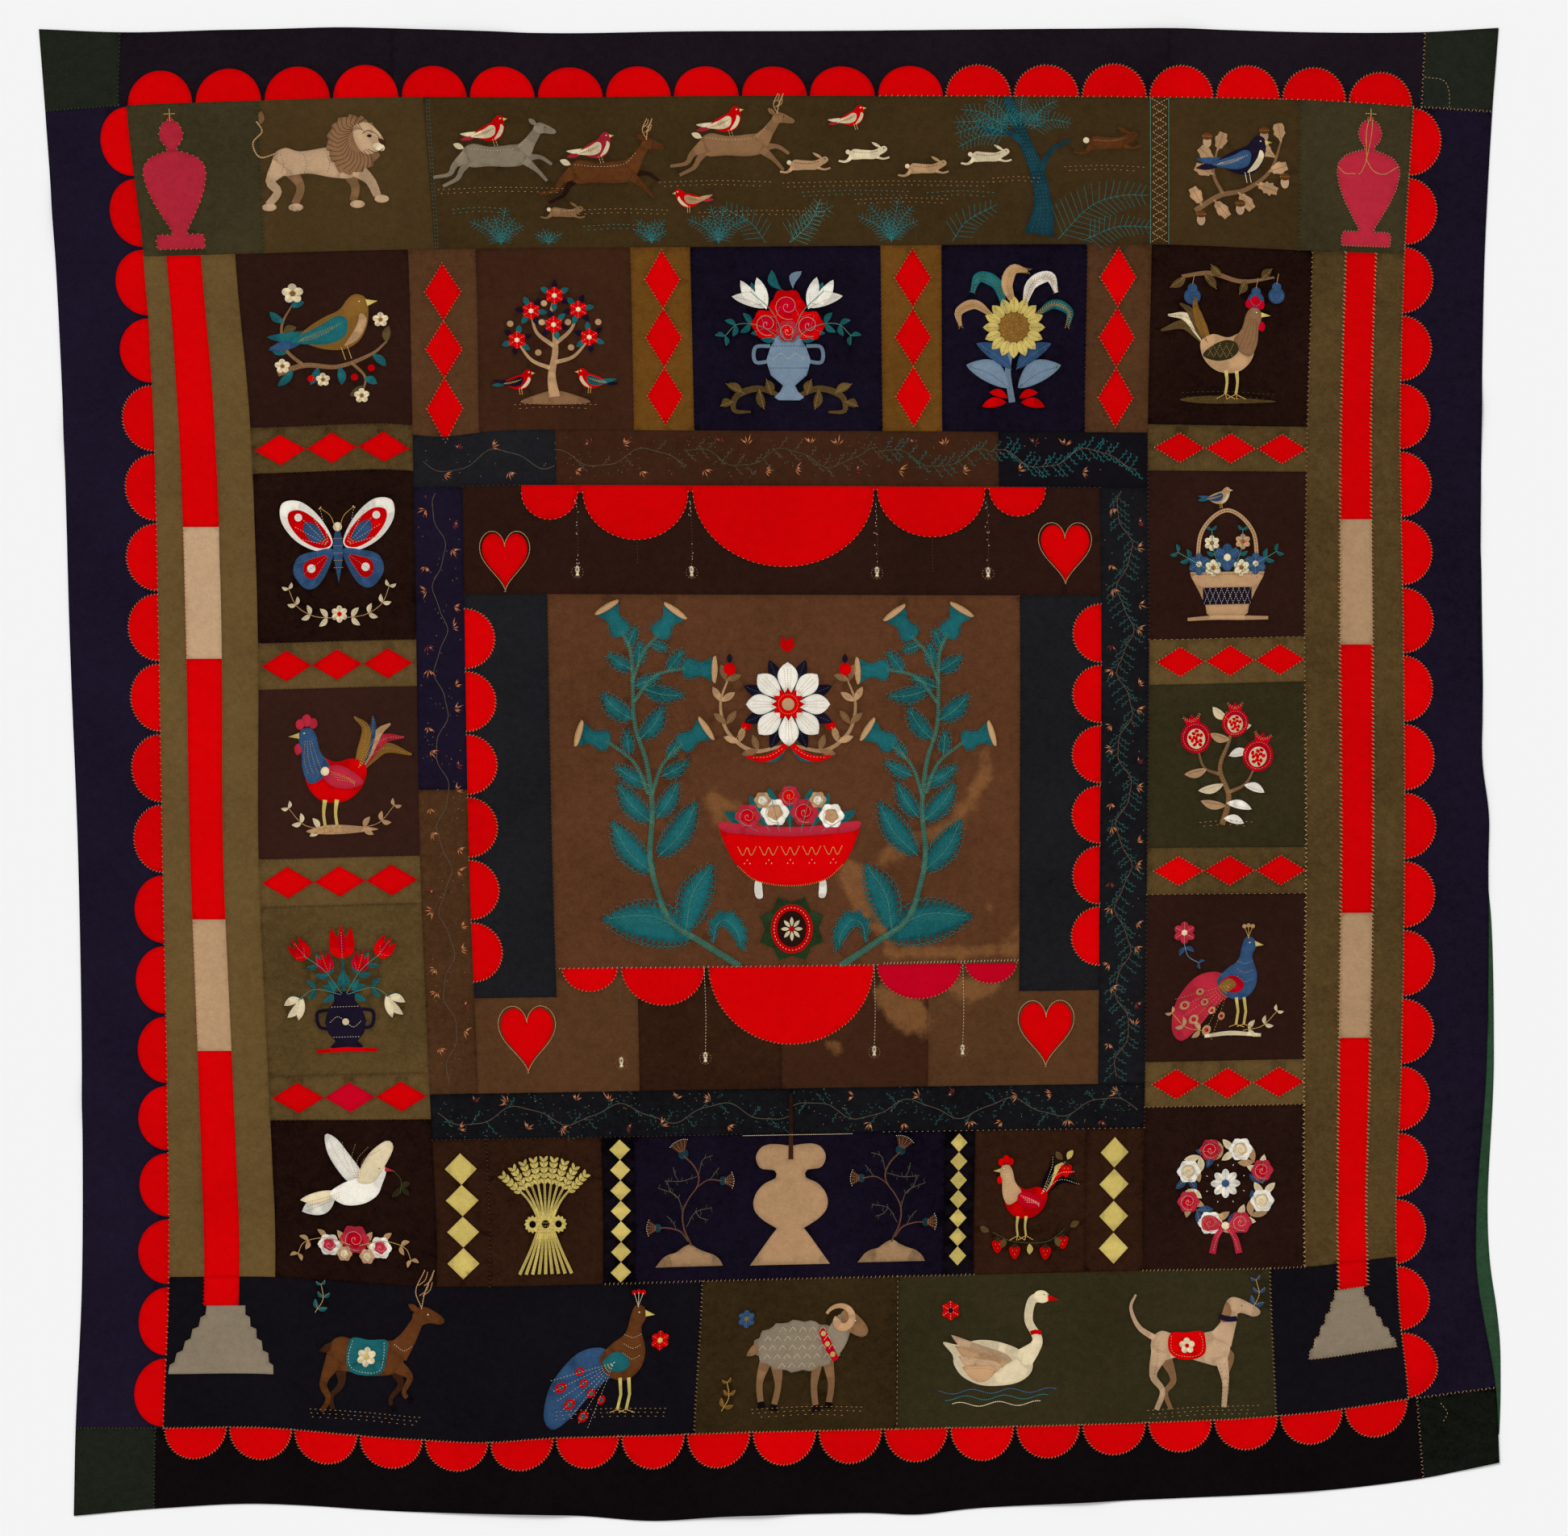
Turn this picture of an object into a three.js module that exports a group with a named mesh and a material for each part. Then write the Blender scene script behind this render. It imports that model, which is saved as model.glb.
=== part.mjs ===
// An inlaid patchwork coverlet of thick wool cloth, lying face up on a flat surface.
// Millimetres, +Z up out of the face, +Y to the head end, +X to the right of someone reading the face.
// The origin is the middle of the coverlet's bounding box, on the surface it lies on.
//
// Every cut panel is its own solid, butted edge to edge with the next. The panels are laid out on
// a square plan (u to the right, v to the head) and the plan is then pulled out of true, as the
// real cloth is, by the drift tables, and lifted off the surface by the folds.
import * as THREE from 'three';

// Thicknesses and the meshing of the panels
const CLOTH = 2.4;
const LINING = 1.0;
const SEAM_GAP = 0.34;
const LINING_CLEARANCE = 0.35;
const GRID = 60;
const NEAREST_LINE = 14;

// Seams of the plan, measured from its middle. Left and right share those that are equal.
const EDGE_LEFT = -1125;
const EDGE_RIGHT = 1109;
const EDGE_TOP = 1152;
const EDGE_BOTTOM = -1172;
const CORNER_IN = 993;
const FIELD = 980;
const FIELD_TOP = 1041;
const FIELD_BOTTOM = -1041;
const FIGURE_OUT = 825;
const FIGURE_IN = 573;
const VINE_IN = 497;
const CENTRE = 368;

// Heights of the rows
const FRIEZE = 809;
const VINE_TOP = 518;
const CANOPY_TOP = 432;
const CANOPY_BOTTOM = 263;
const CENTRE_BOTTOM = -321;
const SIDE_BOTTOM = -366;
const LOWER_BOTTOM = -514;
const VINE_BOTTOM = -584;
const RIDERS = -808;

// Upright seams of the top row of blocks, the frieze, the low row of blocks and the bottom row
const TOP_ROW_U = [-573, -470, -230, -137, 157, 250, 474, 573];
const FRIEZE_U = [-980, -781, -533, 598, 803, 980];
const LOW_ROW_U = [-573, -487, -304, 299, 480, 573];
const BOTTOM_ROW_U = [-980, -142, 176, 770, 980];
// Level seams of the two side columns, from the frieze down: block, strip, block, strip and so on
const COLUMN_V = [809, 531, 459, 193, 121, -142, -216, -481, -552, -808];

const DYES = {
  navy: 0x171226,
  black: 0x120c12,
  midnight: 0x14161e,
  bottle: 0x1f2a20,
  moss: 0x2c3320,
  olive: 0x5b4d29,
  umber: 0x3a2b14,
  chocolate: 0x2c1712,
  chestnut: 0x452917,
  tobacco: 0x4e2f19,
  lining: 0x2b5439,
};

// How far the plan is pulled out of true where its upright lines (DRIFT_U) cross its level lines (v):
// du to the right and dv towards the head.
const DRIFT_U = [-1125, -980, -825, -573, 0, 573, 825, 980, 1109];
const DRIFT = [
  { v: 1152, du: [-48, -52, -48, -38, -21, 6, 12, 16, 16], dv: [2, -3, 1, 2, -1, 3, -3, -3, 4] },
  { v: 1041, du: [-38, -55, -49, -37, -15, 6, 9, 11, 6], dv: [-16, -7, -1, 6, 8, 6, 1, -9, -17] },
  { v: 809, du: [-22, -28, -39, -19, -9, 6, 7, -3, -6], dv: [-14, -13, -9, -2, 3, 6, -4, -9, -11] },
  { v: 531, du: [-9, -12, -15, -12, -3, 0, -1, -10, -11], dv: [-6, -6, -5, 4, 4, 1, -3, -3, -3] },
  { v: 193, du: [1, -4, -3, -6, 3, 2, -5, -5, -12], dv: [-7, -7, -6, 0, 0, 0, 5, 5, 4] },
  { v: -142, du: [14, 2, -2, 0, 8, -1, -3, -3, -1], dv: [-12, -11, -11, -5, -1, 7, 9, 10, 10] },
  { v: -481, du: [20, 9, 13, 14, 11, -4, -6, -8, -3], dv: [-14, -14, -13, -8, 1, 9, 14, 16, 17] },
  { v: -808, du: [20, 12, 24, 26, 9, -8, -5, -17, -20], dv: [-2, -2, -2, -17, -5, 8, 14, 31, 32] },
  { v: -1041, du: [10, 3, 2, 1, 1, 4, 5, 3, 11], dv: [-7, -7, -6, -24, -12, 2, 17, 39, 57] },
  { v: -1172, du: [7, 1, 1, 0, -1, 6, 10, 13, 17], dv: [-14, -2, 5, -8, -12, 12, 25, 43, 70] },
];

// Places where the cloth has stretched out or drawn in: a rounded pull of the given reach
const PULLS = [
  { u: -478, v: -1050, reach: 80, du: 0, dv: -6 },
  { u: -205, v: -1190, reach: 90, du: 0, dv: -9 },
  { u: 212, v: -1190, reach: 60, du: 0, dv: -7 },
  { u: -330, v: 1170, reach: 150, du: 0, dv: -5 },
  { u: -655, v: 1170, reach: 90, du: 0, dv: 3 },
  { u: -530, v: 500, reach: 60, du: 0, dv: -11 },
  { u: 1120, v: 0, reach: 60, du: -5, dv: 0 },
  { u: 1120, v: -95, reach: 50, du: 3, dv: 0 },
];

// Soft folds that stand off the surface: a ridge from one end to the other, as high and as wide as given
const FOLDS = [
  { from: [-1130, 880], to: [-990, 780], wide: 42, high: 5 },
  { from: [-1105, 520], to: [-1000, 460], wide: 38, high: 4 },
  { from: [-960, 640], to: [-850, 470], wide: 36, high: 4 },
  { from: [-870, 330], to: [-790, 420], wide: 34, high: 3 },
  { from: [-1110, -520], to: [-990, -540], wide: 40, high: 5 },
  { from: [-950, -655], to: [-840, -640], wide: 36, high: 4 },
  { from: [-560, 1120], to: [-430, 1160], wide: 40, high: 4 },
  { from: [500, 1090], to: [620, 1150], wide: 42, high: 5 },
  { from: [1010, 420], to: [1100, 560], wide: 40, high: 4 },
  { from: [1010, -330], to: [1090, -420], wide: 40, high: 4 },
  { from: [-640, -840], to: [-420, -800], wide: 42, high: 4 },
  { from: [-520, -1120], to: [-380, -1150], wide: 48, high: 7 },
  { from: [-160, -1110], to: [-40, -1160], wide: 46, high: 6 },
  { from: [340, -1100], to: [470, -1150], wide: 46, high: 5 },
  { from: [700, -1070], to: [800, -1120], wide: 44, high: 6 },
  { from: [940, -800], to: [1060, -900], wide: 46, high: 9 },
  { from: [1060, -900], to: [1010, -1000], wide: 40, high: 7 },
  { from: [-330, 330], to: [-250, 400], wide: 40, high: 3 },
];

// How far the lining shows beyond the right edge, down the cloth
const LINING_IN = 1085;
const LINING_SHOWS = [
  { v: 345, shows: 0 },
  { v: 290, shows: 2 },
  { v: 130, shows: 2 },
  { v: -20, shows: -4 },
  { v: -175, shows: -2 },
  { v: -270, shows: 5 },
  { v: -476, shows: 11 },
  { v: -700, shows: 17 },
  { v: -870, shows: 24 },
  { v: -943, shows: 20 },
  { v: -1038, shows: 8 },
  { v: -1130, shows: 1 },
];
// The coverlet rides over the lining between these lines of the plan
const RISE_FROM_U = 1030;
const RISE_TO_U = 1078;
const RISE_FROM_V = 480;
const RISE_TO_V = 410;

// A smooth curve through (xs, ys), read at x
function curveAt(xs, ys, x) {
  const last = xs.length - 1;
  let i = 0;
  while (i < last - 1 && (xs[i + 1] - x) * Math.sign(xs[last] - xs[0]) < 0) i += 1;
  const slope = (k) => {
    const a = Math.max(k - 1, 0);
    const b = Math.min(k + 1, last);
    return (ys[b] - ys[a]) / (xs[b] - xs[a]);
  };
  const span = xs[i + 1] - xs[i];
  const t = (x - xs[i]) / span;
  const t2 = t * t;
  const t3 = t2 * t;
  return (2 * t3 - 3 * t2 + 1) * ys[i] + (t3 - 2 * t2 + t) * span * slope(i)
    + (3 * t2 - 2 * t3) * ys[i + 1] + (t3 - t2) * span * slope(i + 1);
}

function smoothstep(from, to, x) {
  const t = Math.min(Math.max((x - from) / (to - from), 0), 1);
  return t * t * (3 - 2 * t);
}

// Where a point of the plan lies on the surface
function pulled(u, v) {
  const rows = DRIFT.map((row) => row.v);
  const du = curveAt(rows, DRIFT.map((row) => curveAt(DRIFT_U, row.du, u)), v);
  const dv = curveAt(rows, DRIFT.map((row) => curveAt(DRIFT_U, row.dv, u)), v);
  const place = [u + du, v + dv];
  for (const pull of PULLS) {
    const far = Math.hypot(u - pull.u, v - pull.v) / pull.reach;
    const share = Math.exp(-far * far);
    place[0] += pull.du * share;
    place[1] += pull.dv * share;
  }
  return place;
}

// Height of the cloth's underside above the surface
function lift(u, v) {
  let high = 0;
  for (const fold of FOLDS) {
    const along = [fold.to[0] - fold.from[0], fold.to[1] - fold.from[1]];
    const length2 = along[0] ** 2 + along[1] ** 2;
    const dot = (u - fold.from[0]) * along[0] + (v - fold.from[1]) * along[1];
    const t = Math.min(Math.max(dot / length2, 0), 1);
    const away = Math.hypot(u - fold.from[0] - t * along[0], v - fold.from[1] - t * along[1]);
    const share = Math.max(1 - (away / fold.wide) ** 2 / 4, 0);
    high = Math.max(high, fold.high * share ** 4);
  }
  const overLining = smoothstep(RISE_FROM_U, RISE_TO_U, u) * smoothstep(RISE_FROM_V, RISE_TO_V, v);
  return Math.max(high, (LINING + LINING_CLEARANCE) * overLining);
}

// The plan's grid lines between two ends: the ends, and the lines of the grid that aren't close to them
function gridLines(stops) {
  const ends = [...new Set(stops)].sort((a, b) => a - b);
  const lines = [...ends];
  for (let x = Math.ceil(ends[0] / GRID) * GRID; x < ends[ends.length - 1]; x += GRID) {
    if (ends.every((end) => Math.abs(end - x) > NEAREST_LINE)) lines.push(x);
  }
  return lines.sort((a, b) => a - b);
}

// A closed sheet over the filled cells of a grid: place(i, j) gives the point of the plan at a
// crossing and heights(u, v) the sheet's underside and face there.
function sheetGeometry(columns, rows, filled, place, heights) {
  const positions = [];
  const indices = [];
  const corners = new Map();
  const corner = (i, j, face) => {
    const key = `${i},${j},${face}`;
    if (!corners.has(key)) {
      const [u, v] = place(i, j);
      const [x, y] = pulled(u, v);
      corners.set(key, positions.length / 3);
      positions.push(x, y, heights(u, v)[face]);
    }
    return corners.get(key);
  };
  const quad = (a, b, c, d) => indices.push(a, b, c, a, c, d);
  const wall = (i0, j0, i1, j1) => {
    quad(corner(i0, j0, 0), corner(i1, j1, 0), corner(i1, j1, 1), corner(i0, j0, 1));
  };
  for (let i = 0; i < columns; i += 1) {
    for (let j = 0; j < rows; j += 1) {
      if (!filled(i, j)) continue;
      quad(corner(i, j, 1), corner(i + 1, j, 1), corner(i + 1, j + 1, 1), corner(i, j + 1, 1));
      quad(corner(i, j, 0), corner(i, j + 1, 0), corner(i + 1, j + 1, 0), corner(i + 1, j, 0));
      if (!filled(i, j - 1)) wall(i, j, i + 1, j);
      if (!filled(i + 1, j)) wall(i + 1, j, i + 1, j + 1);
      if (!filled(i, j + 1)) wall(i + 1, j + 1, i, j + 1);
      if (!filled(i - 1, j)) wall(i, j + 1, i, j);
    }
  }
  const geometry = new THREE.BufferGeometry();
  geometry.setAttribute('position', new THREE.Float32BufferAttribute(positions, 3));
  geometry.setIndex(indices);
  geometry.computeVertexNormals();
  return geometry;
}

// A panel cut as one rectangle, or as several that join, drawn in by half the seam gap all round
function panelGeometry(rects) {
  const us = gridLines(rects.flatMap((r) => [r[0], r[2]]));
  const vs = gridLines(rects.flatMap((r) => [r[1], r[3]]));
  const inside = (u, v) => rects.some((r) => u > r[0] && u < r[2] && v > r[1] && v < r[3]);
  const filled = (i, j) => i >= 0 && j >= 0 && i < us.length - 1 && j < vs.length - 1
    && inside((us[i] + us[i + 1]) / 2, (vs[j] + vs[j + 1]) / 2);
  const place = (i, j) => {
    const [nw, ne] = [filled(i - 1, j), filled(i, j)].map(Number);
    const [sw, se] = [filled(i - 1, j - 1), filled(i, j - 1)].map(Number);
    const inset = SEAM_GAP / 2;
    return [us[i] + inset * Math.sign(ne + se - nw - sw), vs[j] + inset * Math.sign(nw + ne - sw - se)];
  };
  const heights = (u, v) => [lift(u, v), lift(u, v) + CLOTH];
  return sheetGeometry(us.length - 1, vs.length - 1, filled, place, heights);
}

// The strip of lining that shows past the right edge, flat on the surface under the border
function liningGeometry() {
  const vs = LINING_SHOWS.map((row) => row.v);
  const shows = LINING_SHOWS.map((row) => row.shows);
  const lines = gridLines([vs[0], vs[vs.length - 1]]);
  const filled = (i, j) => i === 0 && j >= 0 && j < lines.length - 1;
  const place = (i, j) => [i === 0 ? LINING_IN : EDGE_RIGHT + curveAt(vs, shows, lines[j]), lines[j]];
  return sheetGeometry(1, lines.length - 1, filled, place, () => [0, LINING]);
}

// The panels: a name, the dye of its cloth, and the rectangles it covers (low u, low v, high u, high v)
function panels() {
  const list = [
    ['border_top', 'black', [-CORNER_IN, FIELD_TOP, CORNER_IN, EDGE_TOP]],
    ['border_bottom', 'black', [-CORNER_IN, EDGE_BOTTOM, CORNER_IN, FIELD_BOTTOM]],
    ['border_left', 'navy', [EDGE_LEFT, FIELD_BOTTOM, -FIELD, FIELD_TOP]],
    ['border_right', 'navy', [FIELD, FIELD_BOTTOM, EDGE_RIGHT, FIELD_TOP]],
    ['corner_top_left', 'bottle', [EDGE_LEFT, FIELD_TOP, -CORNER_IN, EDGE_TOP]],
    ['corner_top_right', 'bottle', [CORNER_IN, FIELD_TOP, EDGE_RIGHT, EDGE_TOP]],
    ['corner_bottom_left', 'bottle', [EDGE_LEFT, EDGE_BOTTOM, -CORNER_IN, FIELD_BOTTOM]],
    ['corner_bottom_right', 'bottle', [CORNER_IN, EDGE_BOTTOM, EDGE_RIGHT, FIELD_BOTTOM]],
    ['column_left', 'olive', [-FIELD, RIDERS, -FIGURE_OUT, FRIEZE]],
    ['column_right', 'olive', [FIGURE_OUT, RIDERS, FIELD, FRIEZE]],
    ['vine_top', 'midnight', [-FIGURE_IN, CANOPY_TOP, FIGURE_IN, VINE_TOP]],
    ['vine_bottom', 'midnight', [-FIGURE_IN, VINE_BOTTOM, FIGURE_IN, LOWER_BOTTOM]],
    ['vine_left', 'midnight', [-FIGURE_IN, LOWER_BOTTOM, -VINE_IN, CANOPY_TOP]],
    ['vine_right', 'midnight', [VINE_IN, LOWER_BOTTOM, FIGURE_IN, CANOPY_TOP]],
    ['canopy', 'chocolate', [-VINE_IN, CANOPY_BOTTOM, VINE_IN, CANOPY_TOP]],
    ['side_left', 'midnight', [-VINE_IN, SIDE_BOTTOM, -CENTRE, CANOPY_BOTTOM]],
    ['side_right', 'midnight', [CENTRE, SIDE_BOTTOM, VINE_IN, CANOPY_BOTTOM]],
    ['centre', 'tobacco', [-CENTRE, CENTRE_BOTTOM, CENTRE, CANOPY_BOTTOM]],
    ['lower', 'chestnut', [-VINE_IN, LOWER_BOTTOM, VINE_IN, SIDE_BOTTOM],
      [-CENTRE, SIDE_BOTTOM, CENTRE, CENTRE_BOTTOM]],
  ];
  const friezeNames = ['urn_left', 'frieze_left', 'frieze', 'frieze_right', 'urn_right'];
  const friezeDyes = ['moss', 'umber', 'umber', 'umber', 'moss'];
  list.push(...rowOfPanels(friezeNames, friezeDyes, FRIEZE_U, FRIEZE, FIELD_TOP));
  const topNames = ['strip_top_1', 'block_top_1', 'strip_top_2', 'block_top_2', 'strip_top_3', 'block_top_3',
    'strip_top_4'];
  const topDyes = ['chestnut', 'chestnut', 'olive', 'navy', 'olive', 'navy', 'chestnut'];
  list.push(...rowOfPanels(topNames, topDyes, TOP_ROW_U, VINE_TOP, FRIEZE));
  const lowNames = ['strip_low_1', 'block_low_1', 'vase', 'block_low_2', 'strip_low_2'];
  const lowDyes = ['chestnut', 'chestnut', 'navy', 'chestnut', 'chestnut'];
  list.push(...rowOfPanels(lowNames, lowDyes, LOW_ROW_U, RIDERS, VINE_BOTTOM));
  const bottomNames = ['bottom_1', 'bottom_2', 'bottom_3', 'bottom_4'];
  const bottomDyes = ['midnight', 'umber', 'moss', 'midnight'];
  list.push(...rowOfPanels(bottomNames, bottomDyes, BOTTOM_ROW_U, FIELD_BOTTOM, RIDERS));
  list.push(...sideColumn('left', -1, ['chocolate', 'chocolate', 'chocolate', 'olive', 'chocolate']));
  list.push(...sideColumn('right', 1, ['chocolate', 'chocolate', 'moss', 'chocolate', 'chocolate']));
  return list;
}

// Panels side by side between the level lines low and high
function rowOfPanels(names, dyes, us, low, high) {
  return names.map((name, k) => [name, dyes[k], [us[k], low, us[k + 1], high]]);
}

// A side column: blocks and the strips between them, by turns from the frieze down
function sideColumn(side, sign, blockDyes) {
  const [low, high] = [sign * FIGURE_OUT, sign * FIGURE_IN].sort((a, b) => a - b);
  return COLUMN_V.slice(1).map((bottom, k) => {
    const number = Math.floor(k / 2) + 1;
    const name = `${k % 2 === 0 ? 'block' : 'strip'}_${side}_${number}`;
    const dye = k % 2 === 0 ? blockDyes[number - 1] : 'olive';
    return [name, dye, [low, bottom, high, COLUMN_V[k]]];
  });
}

function clothMesh(name, dye, geometry) {
  const material = new THREE.MeshStandardMaterial({ color: DYES[dye], roughness: 0.95, metalness: 0 });
  const mesh = new THREE.Mesh(geometry, material);
  mesh.name = name;
  return mesh;
}

const coverlet = new THREE.Group();
for (const [name, dye, ...rects] of panels()) coverlet.add(clothMesh(name, dye, panelGeometry(rects)));
coverlet.add(clothMesh('lining_edge', 'lining', liningGeometry()));

// The middle of the whole is moved to the origin
const middle = new THREE.Box3().setFromObject(coverlet).getCenter(new THREE.Vector3());
for (const mesh of coverlet.children) mesh.geometry.translate(-middle.x, -middle.y, 0);

export default coverlet;
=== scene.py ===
"""An inlaid patchwork coverlet of thick wool cloth, dressed for the render.

The CAD nodes are the cut panels. Here each panel is cut again from a finer sheet, with every inlaid
shape let into it as its own flush piece, and the sewing is laid on the face stitch by stitch.
Everything is drawn on the coverlet's square plan in millimetres (u to the right, v to the head) and
then pulled out of true and lifted by the same tables as the CAD.
"""
import math

import bpy
import numpy as np
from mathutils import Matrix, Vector
from mathutils.geometry import delaunay_2d_cdt


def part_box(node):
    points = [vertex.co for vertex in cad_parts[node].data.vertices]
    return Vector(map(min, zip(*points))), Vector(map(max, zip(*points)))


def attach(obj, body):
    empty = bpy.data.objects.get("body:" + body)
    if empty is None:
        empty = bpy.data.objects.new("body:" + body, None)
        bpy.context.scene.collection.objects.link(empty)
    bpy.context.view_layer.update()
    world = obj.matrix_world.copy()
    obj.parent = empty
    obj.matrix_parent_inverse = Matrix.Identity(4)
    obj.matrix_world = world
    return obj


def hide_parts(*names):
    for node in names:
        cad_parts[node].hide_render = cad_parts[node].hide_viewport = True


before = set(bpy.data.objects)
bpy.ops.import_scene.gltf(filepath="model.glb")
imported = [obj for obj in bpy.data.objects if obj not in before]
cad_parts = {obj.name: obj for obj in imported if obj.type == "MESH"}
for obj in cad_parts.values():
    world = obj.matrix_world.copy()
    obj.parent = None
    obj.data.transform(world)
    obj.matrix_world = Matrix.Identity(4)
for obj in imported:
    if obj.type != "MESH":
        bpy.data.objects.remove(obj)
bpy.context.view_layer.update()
MM = 0.001
DRAW = np.random.default_rng(7)


def table(columns, *rows):
    """Rows of values under named columns, as a dict each. A row may leave out its last values."""
    return [dict(zip(columns.split(), row)) for row in rows]


# The plan: the seams, in millimetres, as in the part's source
CLOTH = 2.4
LINING = 1.0
LINING_CLEARANCE = 0.35
EDGE_LEFT = -1125
EDGE_RIGHT = 1109
EDGE_TOP = 1152
EDGE_BOTTOM = -1172
CORNER_IN = 993
FIELD = 980
FIELD_TOP = 1041
FIELD_BOTTOM = -1041
FIGURE_OUT = 825
FIGURE_IN = 573
VINE_IN = 497
CENTRE = 368
FRIEZE = 809
VINE_TOP = 518
CANOPY_TOP = 432
CANOPY_BOTTOM = 263
CENTRE_BOTTOM = -321
SIDE_BOTTOM = -366
LOWER_BOTTOM = -514
VINE_BOTTOM = -584
RIDERS = -808
TOP_ROW_U = [-573, -470, -230, -137, 157, 250, 474, 573]
FRIEZE_U = [-980, -781, -533, 598, 803, 980]
LOW_ROW_U = [-573, -487, -304, 299, 480, 573]
BOTTOM_ROW_U = [-980, -142, 176, 770, 980]
COLUMN_V = [809, 531, 459, 193, 121, -142, -216, -481, -552, -808]

# How far the plan is pulled out of true, as in the part's source
DRIFT_U = [-1125, -980, -825, -573, 0, 573, 825, 980, 1109]
DRIFT = table(
    "v du dv",
    (-1172, [7, 1, 1, 0, -1, 6, 10, 13, 17], [-14, -2, 5, -8, -12, 12, 25, 43, 70]),
    (-1041, [10, 3, 2, 1, 1, 4, 5, 3, 11], [-7, -7, -6, -24, -12, 2, 17, 39, 57]),
    (-808, [20, 12, 24, 26, 9, -8, -5, -17, -20], [-2, -2, -2, -17, -5, 8, 14, 31, 32]),
    (-481, [20, 9, 13, 14, 11, -4, -6, -8, -3], [-14, -14, -13, -8, 1, 9, 14, 16, 17]),
    (-142, [14, 2, -2, 0, 8, -1, -3, -3, -1], [-12, -11, -11, -5, -1, 7, 9, 10, 10]),
    (193, [1, -4, -3, -6, 3, 2, -5, -5, -12], [-7, -7, -6, 0, 0, 0, 5, 5, 4]),
    (531, [-9, -12, -15, -12, -3, 0, -1, -10, -11], [-6, -6, -5, 4, 4, 1, -3, -3, -3]),
    (809, [-22, -28, -39, -19, -9, 6, 7, -3, -6], [-14, -13, -9, -2, 3, 6, -4, -9, -11]),
    (1041, [-38, -55, -49, -37, -15, 6, 9, 11, 6], [-16, -7, -1, 6, 8, 6, 1, -9, -17]),
    (1152, [-48, -52, -48, -38, -21, 6, 12, 16, 16], [2, -3, 1, 2, -1, 3, -3, -3, 4]))
PULLS = table(
    "u v reach du dv",
    (-478, -1050, 80, 0, -6), (-205, -1190, 90, 0, -9), (212, -1190, 60, 0, -7), (-330, 1170, 150, 0, -5),
    (-655, 1170, 90, 0, 3), (-530, 500, 60, 0, -11), (1120, 0, 60, -5, 0), (1120, -95, 50, 3, 0))
FOLDS = table(
    "start end wide high",
    ((-1130, 880), (-990, 780), 42, 5), ((-1105, 520), (-1000, 460), 38, 4),
    ((-960, 640), (-850, 470), 36, 4), ((-870, 330), (-790, 420), 34, 3),
    ((-1110, -520), (-990, -540), 40, 5), ((-950, -655), (-840, -640), 36, 4),
    ((-560, 1120), (-430, 1160), 40, 4), ((500, 1090), (620, 1150), 42, 5),
    ((1010, 420), (1100, 560), 40, 4), ((1010, -330), (1090, -420), 40, 4),
    ((-640, -840), (-420, -800), 42, 4), ((-520, -1120), (-380, -1150), 48, 7),
    ((-160, -1110), (-40, -1160), 46, 6), ((340, -1100), (470, -1150), 46, 5),
    ((700, -1070), (800, -1120), 44, 6), ((940, -800), (1060, -900), 46, 9),
    ((1060, -900), (1010, -1000), 40, 7), ((-330, 330), (-250, 400), 40, 3))
LINING_IN = 1085
LINING_V = [-1130, -1038, -943, -870, -700, -476, -270, -175, -20, 130, 290, 345]
LINING_SHOWS = [1, 8, 20, 24, 17, 11, 5, -2, -4, 2, 2, 0]
RISE_U = (1030, 1078)
RISE_V = (480, 410)

# The finer sheet: the size of its mesh, and how the cloth sinks at a seam
GRID = 12.0
CLEAR_OF_SEAM = 3.2
SEAM_DIP = 0.4
FACE_SETTLE = 0.35


def curve_weights(stops, x):
    """How much each stop's value counts at x, on a smooth curve through them all."""
    stops = np.asarray(stops, float)
    x = np.asarray(x, float)
    k = np.clip(np.searchsorted(stops, x) - 1, 0, len(stops) - 2)
    span = stops[k + 1] - stops[k]
    t = (x - stops[k]) / span
    weights = np.zeros((len(x), len(stops)))
    rows = np.arange(len(x))
    weights[rows, k] += 2 * t**3 - 3 * t**2 + 1
    weights[rows, k + 1] += 3 * t**2 - 2 * t**3
    for end, share in ((k, t**3 - 2 * t**2 + t), (k + 1, t**3 - t**2)):
        before = np.maximum(end - 1, 0)
        after = np.minimum(end + 1, len(stops) - 1)
        slope = span * share / (stops[after] - stops[before])
        weights[rows, after] += slope
        weights[rows, before] -= slope
    return weights


def pulled(u, v):
    """Where points of the plan lie on the surface, in the plan's own millimetres."""
    across = curve_weights(DRIFT_U, u)
    down = curve_weights([row["v"] for row in DRIFT], v)
    x = u + np.einsum("ni,nj,ij->n", down, across, np.array([row["du"] for row in DRIFT], float))
    y = v + np.einsum("ni,nj,ij->n", down, across, np.array([row["dv"] for row in DRIFT], float))
    for pull in PULLS:
        far = np.hypot(u - pull["u"], v - pull["v"]) / pull["reach"]
        share = np.exp(-far * far)
        x = x + pull["du"] * share
        y = y + pull["dv"] * share
    return x, y


def smoothstep(start, end, x):
    t = np.clip((x - start) / (end - start), 0, 1)
    return t * t * (3 - 2 * t)


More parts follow.
